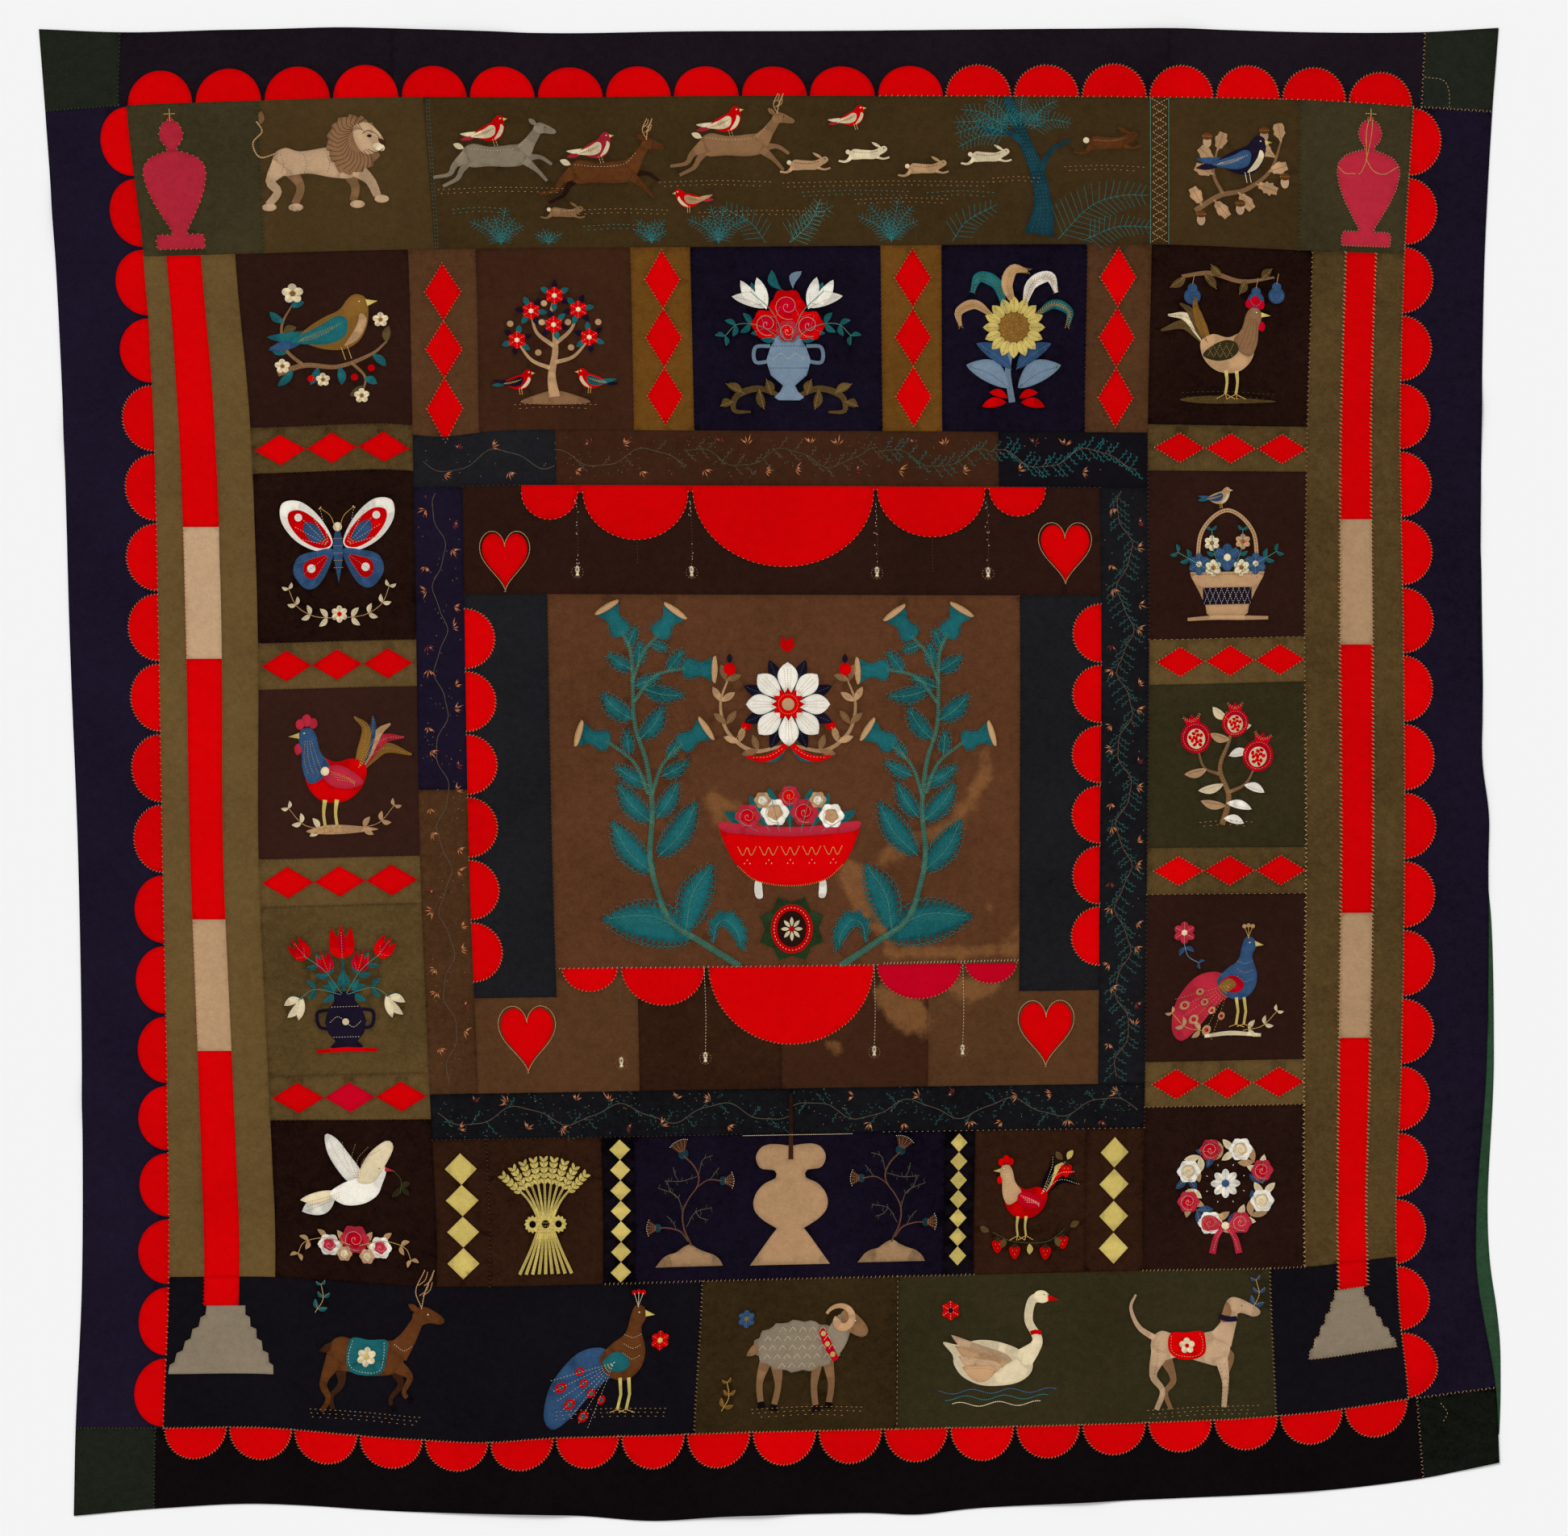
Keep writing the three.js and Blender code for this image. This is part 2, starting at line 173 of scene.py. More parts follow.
def lift(u, v):
    """Height of the cloth's underside above the surface, in millimetres."""
    high = np.zeros(len(u))
    for fold in FOLDS:
        start = np.array(fold["start"], float)
        along = np.array(fold["end"], float) - start
        t = np.clip(((u - start[0]) * along[0] + (v - start[1]) * along[1]) / (along @ along), 0, 1)
        away = np.hypot(u - start[0] - t * along[0], v - start[1] - t * along[1])
        high = np.maximum(high, fold["high"] * np.maximum(1 - (away / fold["wide"]) ** 2 / 4, 0) ** 4)
    over_lining = smoothstep(*RISE_U, u) * smoothstep(*RISE_V, v)
    return np.maximum(high, (LINING + LINING_CLEARANCE) * over_lining)


# The cloth's slight swells: a wavelength, a heading in degrees, a start and a height, in millimetres
SWELLS = [(310, 20, 0.3, 0.16), (230, 100, 1.9, 0.14), (170, 64, 4.0, 0.12), (120, 150, 2.2, 0.10),
          (83, 12, 0.9, 0.07), (61, 118, 5.1, 0.06), (44, 75, 3.3, 0.05), (37, 165, 1.2, 0.04)]


def face_height(u, v):
    """Height of the cloth's face, away from its seams."""
    swell = np.zeros(len(u))
    for wavelength, heading, start, high in SWELLS:
        way = math.radians(heading)
        along = u * math.cos(way) + v * math.sin(way)
        bend = 0.6 * np.sin((v * math.cos(way) - u * math.sin(way)) / wavelength)
        swell += high * np.sin(2 * math.pi * along / wavelength + start + bend)
    return lift(u, v) + CLOTH - FACE_SETTLE + swell


def frame_shift():
    """What takes the plan's millimetres to the frame's, from the centre panel's place in the CAD."""
    t = np.linspace(0, 1, 60)
    u = np.concatenate([CENTRE * (2 * t - 1), CENTRE * (2 * t - 1), 0 * t - CENTRE, 0 * t + CENTRE])
    side = CENTRE_BOTTOM + (CANOPY_BOTTOM - CENTRE_BOTTOM) * t
    v = np.concatenate([0 * t + CENTRE_BOTTOM, 0 * t + CANOPY_BOTTOM, side, side])
    x, y = pulled(u, v)
    low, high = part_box("centre")
    return ((low[0] + high[0]) / 2 / MM - (x.min() + x.max()) / 2,
            (low[1] + high[1]) / 2 / MM - (y.min() + y.max()) / 2)


SHIFT = frame_shift()


def in_frame(u, v, z):
    """Points of the plan at height z, as metres in the frame."""
    x, y = pulled(u, v)
    return np.stack([x + SHIFT[0], y + SHIFT[1], z], 1) * MM


# Outlines, in millimetres. Each is an array of points round a shape, or along a line.
CURVE_STEP = 4.0


def ray(x, y, far, angle):
    """The point at a distance and a heading in radians from (x, y)."""
    return x + far * math.cos(angle), y + far * math.sin(angle)


def spokes(count, start=0.0):
    """Headings all the way round, in radians, from a first one in degrees."""
    return [math.radians(start + 360 * k / count) for k in range(count)]


def ring(outline):
    """An outline as a line that comes back to its start."""
    return np.concatenate([outline, outline[:1]])


def oval(x, y, rx, ry=None, turn=0.0):
    ry = rx if ry is None else ry
    count = max(12, int(2 * math.pi * max(rx, ry) / CURVE_STEP))
    t = np.arange(count) * 2 * math.pi / count
    a = math.radians(turn)
    px = rx * np.cos(t)
    py = ry * np.sin(t)
    return np.stack([x + px * math.cos(a) - py * math.sin(a), y + px * math.sin(a) + py * math.cos(a)], 1)


def curve(*points, closed=False):
    """A smooth line through the points."""
    points = np.asarray(points, float)
    if closed:
        knots = np.concatenate([points[-1:], points, points[:2]])
    else:
        knots = np.concatenate([2 * points[:1] - points[1:2], points, 2 * points[-1:] - points[-2:-1]])
    out = []
    for a, b, c, d in zip(knots[:-3], knots[1:-2], knots[2:-1], knots[3:]):
        steps = max(2, int(np.hypot(*(c - b)) / CURVE_STEP))
        t = (np.arange(steps) / steps)[:, None]
        out.append(0.5 * (2 * b + (c - a) * t + (2 * a - 5 * b + 4 * c - d) * t**2
                          + (3 * b - a - 3 * c + d) * t**3))
    if not closed:
        out.append(points[-1:])
    return np.concatenate(out)


def blob(*points):
    return curve(*points, closed=True)


def headings(points):
    step = np.gradient(points, axis=0)
    return step / np.maximum(np.hypot(step[:, 0], step[:, 1]), 1e-9)[:, None]


def strip(points, *widths):
    """A band along a line, whose width goes evenly through the widths given."""
    way = headings(points)
    side = np.stack([-way[:, 1], way[:, 0]], 1)
    share = np.linspace(0, len(widths) - 1, len(points))
    half = np.interp(share, range(len(widths)), widths)[:, None] / 2
    return np.concatenate([points + side * half, (points - side * half)[::-1]])


def leaf(x0, y0, x1, y1, width, bend=0.0, full=0.5):
    """A pointed leaf from one end to the other; full says where along it is widest."""
    count = max(7, int(math.hypot(x1 - x0, y1 - y0) / CURVE_STEP))
    t = np.linspace(0, 1, count)
    along = np.array([x1 - x0, y1 - y0], float)
    side = np.array([-along[1], along[0]]) / math.hypot(*along)
    middle = np.array([x0, y0]) + t[:, None] * along + side * (bend * np.sin(math.pi * t))[:, None]
    half = side * (width / 2 * np.sin(math.pi * t ** (math.log(0.5) / math.log(full))) ** 0.8)[:, None]
    return np.concatenate([middle + half, (middle - half)[::-1][1:-1]])


def rhomb(x, y, w, h):
    return np.array([(x - w / 2, y), (x, y - h / 2), (x + w / 2, y), (x, y + h / 2)], float)


def box(x0, y0, x1, y1):
    return np.array([(x0, y0), (x1, y0), (x1, y1), (x0, y1)], float)


def star(x, y, outer, inner, points, turn=90.0):
    a = np.radians(turn) + np.arange(2 * points) * math.pi / points
    r = np.where(np.arange(2 * points) % 2 == 0, outer, inner)
    return np.stack([x + r * np.cos(a), y + r * np.sin(a)], 1)


def heart(x, y, w, h):
    t = np.linspace(0, 2 * math.pi, 48, endpoint=False)
    px = np.sin(t) ** 3
    py = (13 * np.cos(t) - 5 * np.cos(2 * t) - 2 * np.cos(3 * t) - np.cos(4 * t)) / 14.6 + 0.17
    return np.stack([x + px * w / 2, y + py * h / 2], 1)


def half_disc(start, end, depth):
    """A half-round on the left of the line from start to end."""
    start = np.asarray(start, float)
    end = np.asarray(end, float)
    t = np.linspace(0, math.pi, 27)[:, None]
    half = (end - start) / 2
    side = np.array([-half[1], half[0]]) / math.hypot(*half)
    return (start + end) / 2 - half * np.cos(t) + side * depth * np.sin(t)


def anticlockwise(outline):
    u, v = outline.T
    turns = (u * np.roll(v, -1) - np.roll(u, -1) * v).sum()
    return outline if turns > 0 else outline[::-1]


def mirrored(*profile):
    """A shape that is the same on both sides of x = 0, from its right-hand profile."""
    right = np.asarray(profile, float)
    return np.concatenate([right, (right * (-1, 1))[::-1]])


# Dyes, as the eye sees them, out of 255, and the record's slot that each belongs to
DYES = {
    "navy": ((27, 20, 37), "cloth_navy"),
    "black": ((26, 19, 26), "cloth_black"),
    "jet": ((14, 9, 11), "cloth_black"),
    "midnight": ((28, 28, 31), "cloth_midnight"),
    "ink": ((18, 16, 21), "cloth_midnight"),
    "bottle": ((31, 35, 27), "cloth_bottle"),
    "forest": ((38, 55, 30), "cloth_bottle"),
    "moss": ((57, 50, 31), "cloth_moss"),
    "sage": ((48, 42, 24), "cloth_moss"),
    "olive": ((92, 71, 39), "cloth_olive"),
    "mustard": ((101, 65, 22), "cloth_olive"),
    "umber": ((58, 43, 22), "cloth_umber"),
    "chocolate": ((43, 23, 17), "cloth_chocolate"),
    "chestnut": ((58, 33, 20), "cloth_chestnut"),
    "hazel": ((82, 53, 31), "cloth_chestnut"),
    "tobacco": ((87, 53, 32), "cloth_tobacco"),
    "scarlet": ((204, 1, 4), "cloth_scarlet"),
    "crimson": ((186, 2, 30), "cloth_scarlet"),
    "raspberry": ((176, 38, 56), "cloth_raspberry"),
    "cream": ((224, 206, 168), "cloth_cream"),
    "white": ((232, 226, 212), "cloth_cream"),
    "tan": ((186, 146, 106), "cloth_tan"),
    "bone": ((187, 154, 120), "cloth_tan"),
    "sand": ((172, 138, 104), "cloth_tan"),
    "stone": ((134, 120, 100), "cloth_stone"),
    "teal": ((28, 94, 98), "cloth_teal"),
    "blue": ((48, 76, 110), "cloth_blue"),
    "verdigris": ((66, 104, 86), "cloth_teal"),
    "sky": ((112, 132, 150), "cloth_blue"),
    "yellow": ((200, 178, 98), "cloth_yellow"),
    "ochre": ((128, 90, 38), "cloth_ochre"),
    "brown": ((92, 52, 24), "cloth_ochre"),
    "fawn": ((134, 98, 66), "cloth_ochre"),
    "pine": ((24, 58, 68), "cloth_teal"),
    "lining": ((42, 68, 47), "lining"),
}
THREADS = {
    "tan": (196, 152, 104),
    "gold": (206, 164, 86),
    "cream": (226, 210, 176),
    "pink": (222, 176, 160),
    "teal": (42, 122, 122),
    "mint": (88, 146, 126),
    "green": (70, 84, 44),
    "brown": (92, 60, 42),
    "red": (196, 22, 22),
    "navy": (26, 22, 48),
    "black": (18, 13, 14),
    "blue": (64, 104, 140),
    "sky": (122, 146, 166),
    "fawn": (160, 108, 72),
    "rust": (196, 118, 72),
    "ash": (98, 84, 70),
    "bone": (198, 178, 146),
    "wine": (120, 40, 34),
    "wood": (112, 72, 54),
    "dusk": (52, 100, 92),
}


# Cutting the cloth: the panels and what is let into them

class Panel:
    """One cut panel: its outline, the rectangles that make it up, and the shapes let into it."""

    def __init__(self, name, dye, outline, rects):
        self.name = name
        self.dye = dye
        self.outline = np.asarray(outline, float)
        self.rects = rects
        self.shapes = []

    def inlay(self, dye, outline, group="motif", shade=0.0):
        self.shapes.append((group, dye, anticlockwise(np.asarray(outline, float)), shade))


PANELS = {}


def add_panel(name, dye, *rects):
    u0, v0, u1, v1 = rects[0]
    outline = box(u0, v0, u1, v1)
    if len(rects) == 2:
        a0, _, a1, b1 = rects[1]
        outline = np.array([(u0, v0), (u1, v0), (u1, v1), (a1, v1), (a1, b1), (a0, b1), (a0, v1), (u0, v1)])
    PANELS[name] = Panel(name, dye, outline, rects)


def add_row(names, dyes, us, low, high):
    for k, name in enumerate(names):
        add_panel(name, dyes[k], (us[k], low, us[k + 1], high))


def add_side_column(side, sign, block_dyes):
    low, high = sorted([sign * FIGURE_OUT, sign * FIGURE_IN])
    for k, bottom in enumerate(COLUMN_V[1:]):
        number = k // 2 + 1
        kind = "block" if k % 2 == 0 else "strip"
        dye = block_dyes[number - 1] if kind == "block" else "olive"
        add_panel(f"{kind}_{side}_{number}", dye, (low, bottom, high, COLUMN_V[k]))


def add_panels():
    """The same panels as the part's source."""
    add_panel("border_top", "black", (-CORNER_IN, FIELD_TOP, CORNER_IN, EDGE_TOP))
    add_panel("border_bottom", "jet", (-CORNER_IN, EDGE_BOTTOM, CORNER_IN, FIELD_BOTTOM))
    add_panel("border_left", "navy", (EDGE_LEFT, FIELD_BOTTOM, -FIELD, FIELD_TOP))
    add_panel("border_right", "navy", (FIELD, FIELD_BOTTOM, EDGE_RIGHT, FIELD_TOP))
    add_panel("corner_top_left", "bottle", (EDGE_LEFT, FIELD_TOP, -CORNER_IN, EDGE_TOP))
    add_panel("corner_top_right", "bottle", (CORNER_IN, FIELD_TOP, EDGE_RIGHT, EDGE_TOP))
    add_panel("corner_bottom_left", "bottle", (EDGE_LEFT, EDGE_BOTTOM, -CORNER_IN, FIELD_BOTTOM))
    add_panel("corner_bottom_right", "bottle", (CORNER_IN, EDGE_BOTTOM, EDGE_RIGHT, FIELD_BOTTOM))
    add_panel("column_left", "olive", (-FIELD, RIDERS, -FIGURE_OUT, FRIEZE))
    add_panel("column_right", "olive", (FIGURE_OUT, RIDERS, FIELD, FRIEZE))
    add_panel("vine_top", "chestnut", (-FIGURE_IN, CANOPY_TOP, FIGURE_IN, VINE_TOP))
    add_panel("vine_bottom", "midnight", (-FIGURE_IN, VINE_BOTTOM, FIGURE_IN, LOWER_BOTTOM))
    add_panel("vine_left", "navy", (-FIGURE_IN, LOWER_BOTTOM, -VINE_IN, CANOPY_TOP))
    add_panel("vine_right", "midnight", (VINE_IN, LOWER_BOTTOM, FIGURE_IN, CANOPY_TOP))
    add_panel("canopy", "chocolate", (-VINE_IN, CANOPY_BOTTOM, VINE_IN, CANOPY_TOP))
    add_panel("side_left", "midnight", (-VINE_IN, SIDE_BOTTOM, -CENTRE, CANOPY_BOTTOM))
    add_panel("side_right", "midnight", (CENTRE, SIDE_BOTTOM, VINE_IN, CANOPY_BOTTOM))
    add_panel("centre", "tobacco", (-CENTRE, CENTRE_BOTTOM, CENTRE, CANOPY_BOTTOM))
    add_panel("lower", "hazel", (-VINE_IN, LOWER_BOTTOM, VINE_IN, SIDE_BOTTOM),
              (-CENTRE, SIDE_BOTTOM, CENTRE, CENTRE_BOTTOM))
    add_row(["urn_left", "frieze_left", "frieze", "frieze_right", "urn_right"],
            ["moss", "umber", "umber", "umber", "moss"], FRIEZE_U, FRIEZE, FIELD_TOP)
    add_row(["strip_top_1", "block_top_1", "strip_top_2", "block_top_2", "strip_top_3", "block_top_3",
             "strip_top_4"], ["hazel", "chestnut", "mustard", "navy", "mustard", "navy", "hazel"],
            TOP_ROW_U, VINE_TOP, FRIEZE)
    add_row(["strip_low_1", "block_low_1", "vase", "block_low_2", "strip_low_2"],
            ["chestnut", "chestnut", "navy", "chestnut", "chestnut"], LOW_ROW_U, RIDERS, VINE_BOTTOM)
    add_row(["bottom_1", "bottom_2", "bottom_3", "bottom_4"], ["ink", "umber", "sage", "ink"],
            BOTTOM_ROW_U, FIELD_BOTTOM, RIDERS)
    add_side_column("left", -1, ["chocolate", "chocolate", "chocolate", "olive", "chocolate"])
    add_side_column("right", 1, ["chocolate", "chocolate", "sage", "chocolate", "chocolate"])


# How much lighter or darker than its dye a ground piece has come to look
WORN = {
    "border_right": -0.18, "corner_bottom_left": -0.15, "corner_bottom_right": -0.6,
    "column_left": 0.18, "column_right": -0.28, "frieze_left": 0.45, "frieze_right": 0.08,
    "strip_top_4": -0.14, "block_top_2": -0.4, "block_top_3": -0.42,
    "block_left_2": -0.42, "block_left_3": 0.35, "block_left_4": -0.18, "block_left_5": -0.48,
    "strip_left_1": -0.25, "strip_left_4": -0.1, "strip_right_1": -0.2, "strip_right_3": -0.25,
    "block_right_1": -0.44, "block_right_5": -0.26,
    "vine_left": -0.1, "vine_right": -0.3, "vine_bottom": -0.42, "canopy": -0.05, "side_right": -0.08,
    "strip_low_1": -0.35, "block_low_1": -0.38, "vase": -0.45, "block_low_2": -0.36, "strip_low_2": -0.34,
    "bottom_1": -0.1, "bottom_2": -0.3, "bottom_4": -0.05,
}


# Sewing: stitches are kept as rows of (u, v, heading in radians, length, width) for each thread
SEWN = {}


def resample(points, step):
    """Evenly spaced points along a line, and its heading at each."""
    points = np.asarray(points, float)
    gaps = np.hypot(*np.diff(points, axis=0).T)
    along = np.concatenate([[0], np.cumsum(gaps)])
    count = max(2, int(round(along[-1] / step)) + 1)
    at = np.linspace(0, along[-1], count)
    u = np.interp(at, along, points[:, 0])
    v = np.interp(at, along, points[:, 1])
    way = headings(np.stack([u, v], 1))
    return u, v, np.arctan2(way[:, 1], way[:, 0])


def sew(group, thread, u, v, heading, length, width=1.1):
    u = np.asarray(u, float)
    rows = np.stack([u, np.asarray(v, float), np.broadcast_to(heading, u.shape),
                     np.broadcast_to(length, u.shape), np.broadcast_to(width, u.shape)], 1)
    SEWN.setdefault((group, thread), []).append(rows)


def stem_stitch(group, thread, points, width=1.3, step=3.4):
    """An unbroken line of overlapping slanted stitches."""
    u, v, way = resample(points, step)
    sew(group, thread, u, v, way + 0.16, step * 1.55, width)


def running(group, thread, points, step=8.0, length=4.5, width=1.2):
    """A line of stitches with gaps between them."""
    u, v, way = resample(points, step)
    sew(group, thread, u, v, way, length, width)


def overcast(group, thread, points, step=5.2, length=6.0, lean=62.0, width=0.95, ragged=0.12):
    """Stitches over a seam, leaning the same way, a little uneven."""
    u, v, way = resample(points, step)
    lean = math.radians(lean) + ragged * DRAW.standard_normal(len(u))
    sew(group, thread, u, v, way + lean, length * (1 + 0.12 * DRAW.standard_normal(len(u))), width)


def zigzag(group, thread, points, step=4.6, length=7.0, lean=55.0, width=1.0):
    """Stitches over a seam that lean by turns one way and the other."""
    u, v, way = resample(points, step)
    lean = math.radians(lean) * np.where(np.arange(len(u)) % 2 == 0, 1, -1)
    sew(group, thread, u, v, way + lean, length, width)


class Place:
    """Where a motif goes: drawn about (0, 0) in millimetres, then sized, turned and put at (u, v)."""

    def __init__(self, panels, u, v, size=1.0, turn=0.0, flip=False, group="motif"):
        self.panels = [PANELS[name] for name in panels.split()]
        self.group = group
        self.at = np.array([u, v], float)
        self.frame = self.turned(size, turn, flip)

    @staticmethod
    def turned(size, turn, flip):
        c = math.cos(math.radians(turn)) * size
        s = math.sin(math.radians(turn)) * size
        return np.array([[-c, -s], [-s, c]]) if flip else np.array([[c, s], [-s, c]])

    def on_plan(self, points):
        return self.at + np.asarray(points, float) @ self.frame

    def sides(self, x=0, y=0):
        """The place at (x, y) and its mirror image, each with its side."""
        return [(side, self.sub(x, y, flip=side < 0)) for side in (1, -1)]

    def sub(self, x, y, size=1.0, turn=0.0, flip=False):
        """A place inside this one, for a smaller motif."""
        inner = object.__new__(Place)
        inner.panels = self.panels
        inner.group = self.group
        inner.at = self.on_plan((x, y))
        inner.frame = self.turned(size, turn, flip) @ self.frame
        return inner

    def cut(self, dye, outline):
        """Lets a shape into every panel that it may cross."""
        shade = 0.05 * DRAW.standard_normal()
        for panel in self.panels:
            panel.inlay(dye, self.on_plan(outline), self.group, shade)

    def blob(self, dye, *points):
        self.cut(dye, blob(*points))

    def leaf(self, dye, *shape):
        self.cut(dye, leaf(*shape))

    def oval(self, dye, *shape):
        self.cut(dye, oval(*shape))

    def band(self, dye, points, *widths):
        self.cut(dye, strip(curve(*points), *widths))

    def stem(self, thread, points, width=1.3):
        stem_stitch("motif", thread, self.on_plan(points), width)

    def run(self, thread, points, step=4.0, length=3.0, width=0.9):
        running("motif", thread, self.on_plan(points), step, length, width)

    def seed(self, thread, points, length=2.6, heading=0.7, width=1.3):
        points = self.on_plan(points)
        sew("motif", thread, points[:, 0], points[:, 1], heading, length, width)


# Ordinary inlays: what is the same in every coverlet of this kind

def straight(u0, v0, u1, v1, step=6.0):
    count = max(2, int(math.hypot(u1 - u0, v1 - v0) / step) + 1)
    return np.stack([np.linspace(u0, u1, count), np.linspace(v0, v1, count)], 1)


def scallop_row(panel, start, end, count, gap, depth, group, sewn):
    """Half-rounds on the left of a line; those numbered in sewn are edged with overcast stitches."""
    start = np.asarray(start, float)
    along = (np.asarray(end, float) - start) / count
    unit = along / math.hypot(*along)
    for k in range(count):
        a = start + k * along + unit * gap / 2
        b = start + (k + 1) * along - unit * gap / 2
        outline = half_disc(a, b, depth * (1 + 0.02 * DRAW.standard_normal()))
        PANELS[panel].inlay("scarlet", outline, group, 0.03 * DRAW.standard_normal())
        if k in sewn:
            overcast("seam", "tan", outline, 5.4, 6.2)


SCALLOPS = table(
    "panel start end gap deep sewn",
    ("border_top", (-FIELD, FIELD_TOP), (FIELD, FIELD_TOP), 5.5, 51, (12, 19)),
    ("border_left", (-FIELD, FIELD_BOTTOM), (-FIELD, FIELD_TOP), 5, 49, (8, 15)),
    ("border_right", (FIELD, FIELD_TOP), (FIELD, FIELD_BOTTOM), 5, 48, (0, 19)),
    ("border_bottom", (FIELD, FIELD_BOTTOM), (-FIELD, FIELD_BOTTOM), 5, 52, (0, 19)))
SCALLOPS_A_SIDE = 19


def add_border_scallops():
    for row in SCALLOPS:
        scallop_row(row["panel"], row["start"], row["end"], SCALLOPS_A_SIDE, row["gap"], row["deep"],
                    "border", range(*row["sewn"]))


BANDS_LEFT = [(809, 376, "scarlet"), (376, 170, "bone"), (170, -235, "scarlet"), (-235, -440, "sand"),
              (-440, -853.5, "scarlet")]
BANDS_RIGHT = [(809, 382, "scarlet"), (382, 180, "sand"), (180, -248, "scarlet"), (-248, -448, "sand"),
               (-448, -851, "scarlet")]
LEFT_SHAFT = dict(v=[-860, 0, 810], low=[-927, -936, -941], high=[-877, -882, -881])
RIGHT_SHAFT = dict(v=[-860, 0, 810], low=[880.5, 880.5, 880.5], high=[929, 931, 933])
FOOT_STEPS = [(0, 28), (14, 29), (18, 36), (32, 38), (36, 47), (50, 49), (54, 57), (68, 60), (72, 69),
              (86, 72), (90, 79), (104, 81)]
COLUMNS = table(
    "panel low_panel bands shaft foot_top foot_u foot_size shade sewn",
    ("column_left", "bottom_1", BANDS_LEFT, LEFT_SHAFT, -853.5, -895, 1.0, 0.06, False),
    ("column_right", "bottom_4", BANDS_RIGHT, RIGHT_SHAFT, -851, 898, 0.89, -0.04, True))


def add_column(column):
    """A banded shaft that runs on into the bottom row, on a foot of stone steps."""
    shaft = column["shaft"]
    low_panel = PANELS[column["low_panel"]]
    for top, bottom, dye in column["bands"]:
        v = np.linspace(bottom, top, max(2, int((top - bottom) / 8)))
        low = np.stack([np.interp(v, shaft["v"], shaft["low"]), v], 1)
        high = np.stack([np.interp(v, shaft["v"], shaft["high"]), v], 1)
        outline = np.concatenate([high, low[::-1]])
        shade = 0.02 * DRAW.standard_normal() + column["shade"]
        PANELS[column["panel"]].inlay(dye, outline, "column", shade)
        if bottom < RIDERS:
            low_panel.inlay(dye, outline, "column", shade)
    steps = mirrored(*[(half * column["foot_size"], -deep) for deep, half in FOOT_STEPS])
    foot = steps + (column["foot_u"], column["foot_top"])
    low_panel.inlay("stone", foot, "column")
    if column["sewn"]:
        overcast("seam", "tan", densify(foot, 6.0), 5.4, 4.6)


URN = [(0, 27), (4, 24), (3, 21), (8, 19), (14, 14), (19, 0), (16, -12), (9, -20), (8, -26), (20, -29),
       (38, -36), (49, -48), (51, -62), (47, -84), (38, -106), (27, -126), (17, -142), (13, -149), (14, -153),
       (38, -153), (42, -160), (41, -176)]
URN_LINES = [((-3, 20), (-6, -2), (-4, -40)), ((3, 20), (2, -4), (-4, -40), (-10, -58), (-15, -64)),
             ((-48, -56), (-38, -64), (-22, -64)), ((-4, -42), (8, -58), (26, -62), (46, -50))]


def add_urns():
    """The two urns. The right-hand one is sewn closely and has gold lines on its body."""
    body = mirrored(*URN)
    for side, name in ((-1, "urn_left"), (1, "urn_right")):
        place = Place(name, side * 914, 995, group="panel")
        place.cut("raspberry", body)
        outline = ring(place.on_plan(body))
        if side > 0:
            overcast("seam", "tan", outline, 5.0, 5.0)
            for points in URN_LINES:
                place.stem("gold", curve(*points), 1.4)
        else:
            overcast("seam", "gold", outline, 9.0, 5.0, 62, 0.9)
        place.stem("gold", [(0, 20), (0, 36)], 1.8)
        place.stem("gold", [(-7, 30), (7, 30)], 1.8)


def diamond_row(panel, dyes, points, w, h, thread=None):
    for dye, (u, v) in zip(dyes, points):
        wide = w * (1 + 0.015 * DRAW.standard_normal())
        high = h * (1 + 0.015 * DRAW.standard_normal())
        shape = rhomb(u, v, wide, high)
        PANELS[panel].inlay(dye, shape, "panel", 0.04 * DRAW.standard_normal())
        if thread:
            overcast("seam", thread, ring(shape), 6.0, 4.6, 62, 0.8)


def add_diamonds():
    red = ["scarlet"] * 3
    yellow = ["yellow"] * 7
    for number, u in enumerate((-522, -181, 206, 522), 1):
        tops = (741, 648, 556) if number == 1 else (758, 665, 572)
        diamond_row(f"strip_top_{number}", red, [(u, v) for v in tops], 56, 93, "tan")
    for side, middle in (("left", -699), ("right", 704)):
        for number in range(1, 5):
            v = (COLUMN_V[2 * number - 1] + COLUMN_V[2 * number]) / 2
            dyes = ["scarlet", "crimson", "scarlet"] if (side, number) == ("left", 4) else red
            diamond_row(f"strip_{side}_{number}", dyes, [(middle + d, v) for d in (-81, 0, 81)], 79, 48,
                        "tan" if side == "right" else "red")
    diamond_row("strip_low_1", yellow, [(-530, v) for v in (-629, -677, -725, -773)], 52, 48)
    diamond_row("strip_low_2", yellow, [(526, v) for v in (-622, -672, -722, -772)], 46, 48)
    diamond_row("vase", yellow, [(-275, -603.6 - 31.2 * k) for k in range(7)], 33, 31)
    diamond_row("vase", yellow, [(273, -602.6 - 29.3 * k) for k in range(7)], 28, 29.2)


HEARTS = table(
    "panel u v w h",
    ("canopy", -433, 314, 71, 87), ("canopy", 441, 329, 77, 90), ("lower", -416, -431, 83, 98),
    ("lower", 412, -433, 84, 98))
HEART_LINE = 7


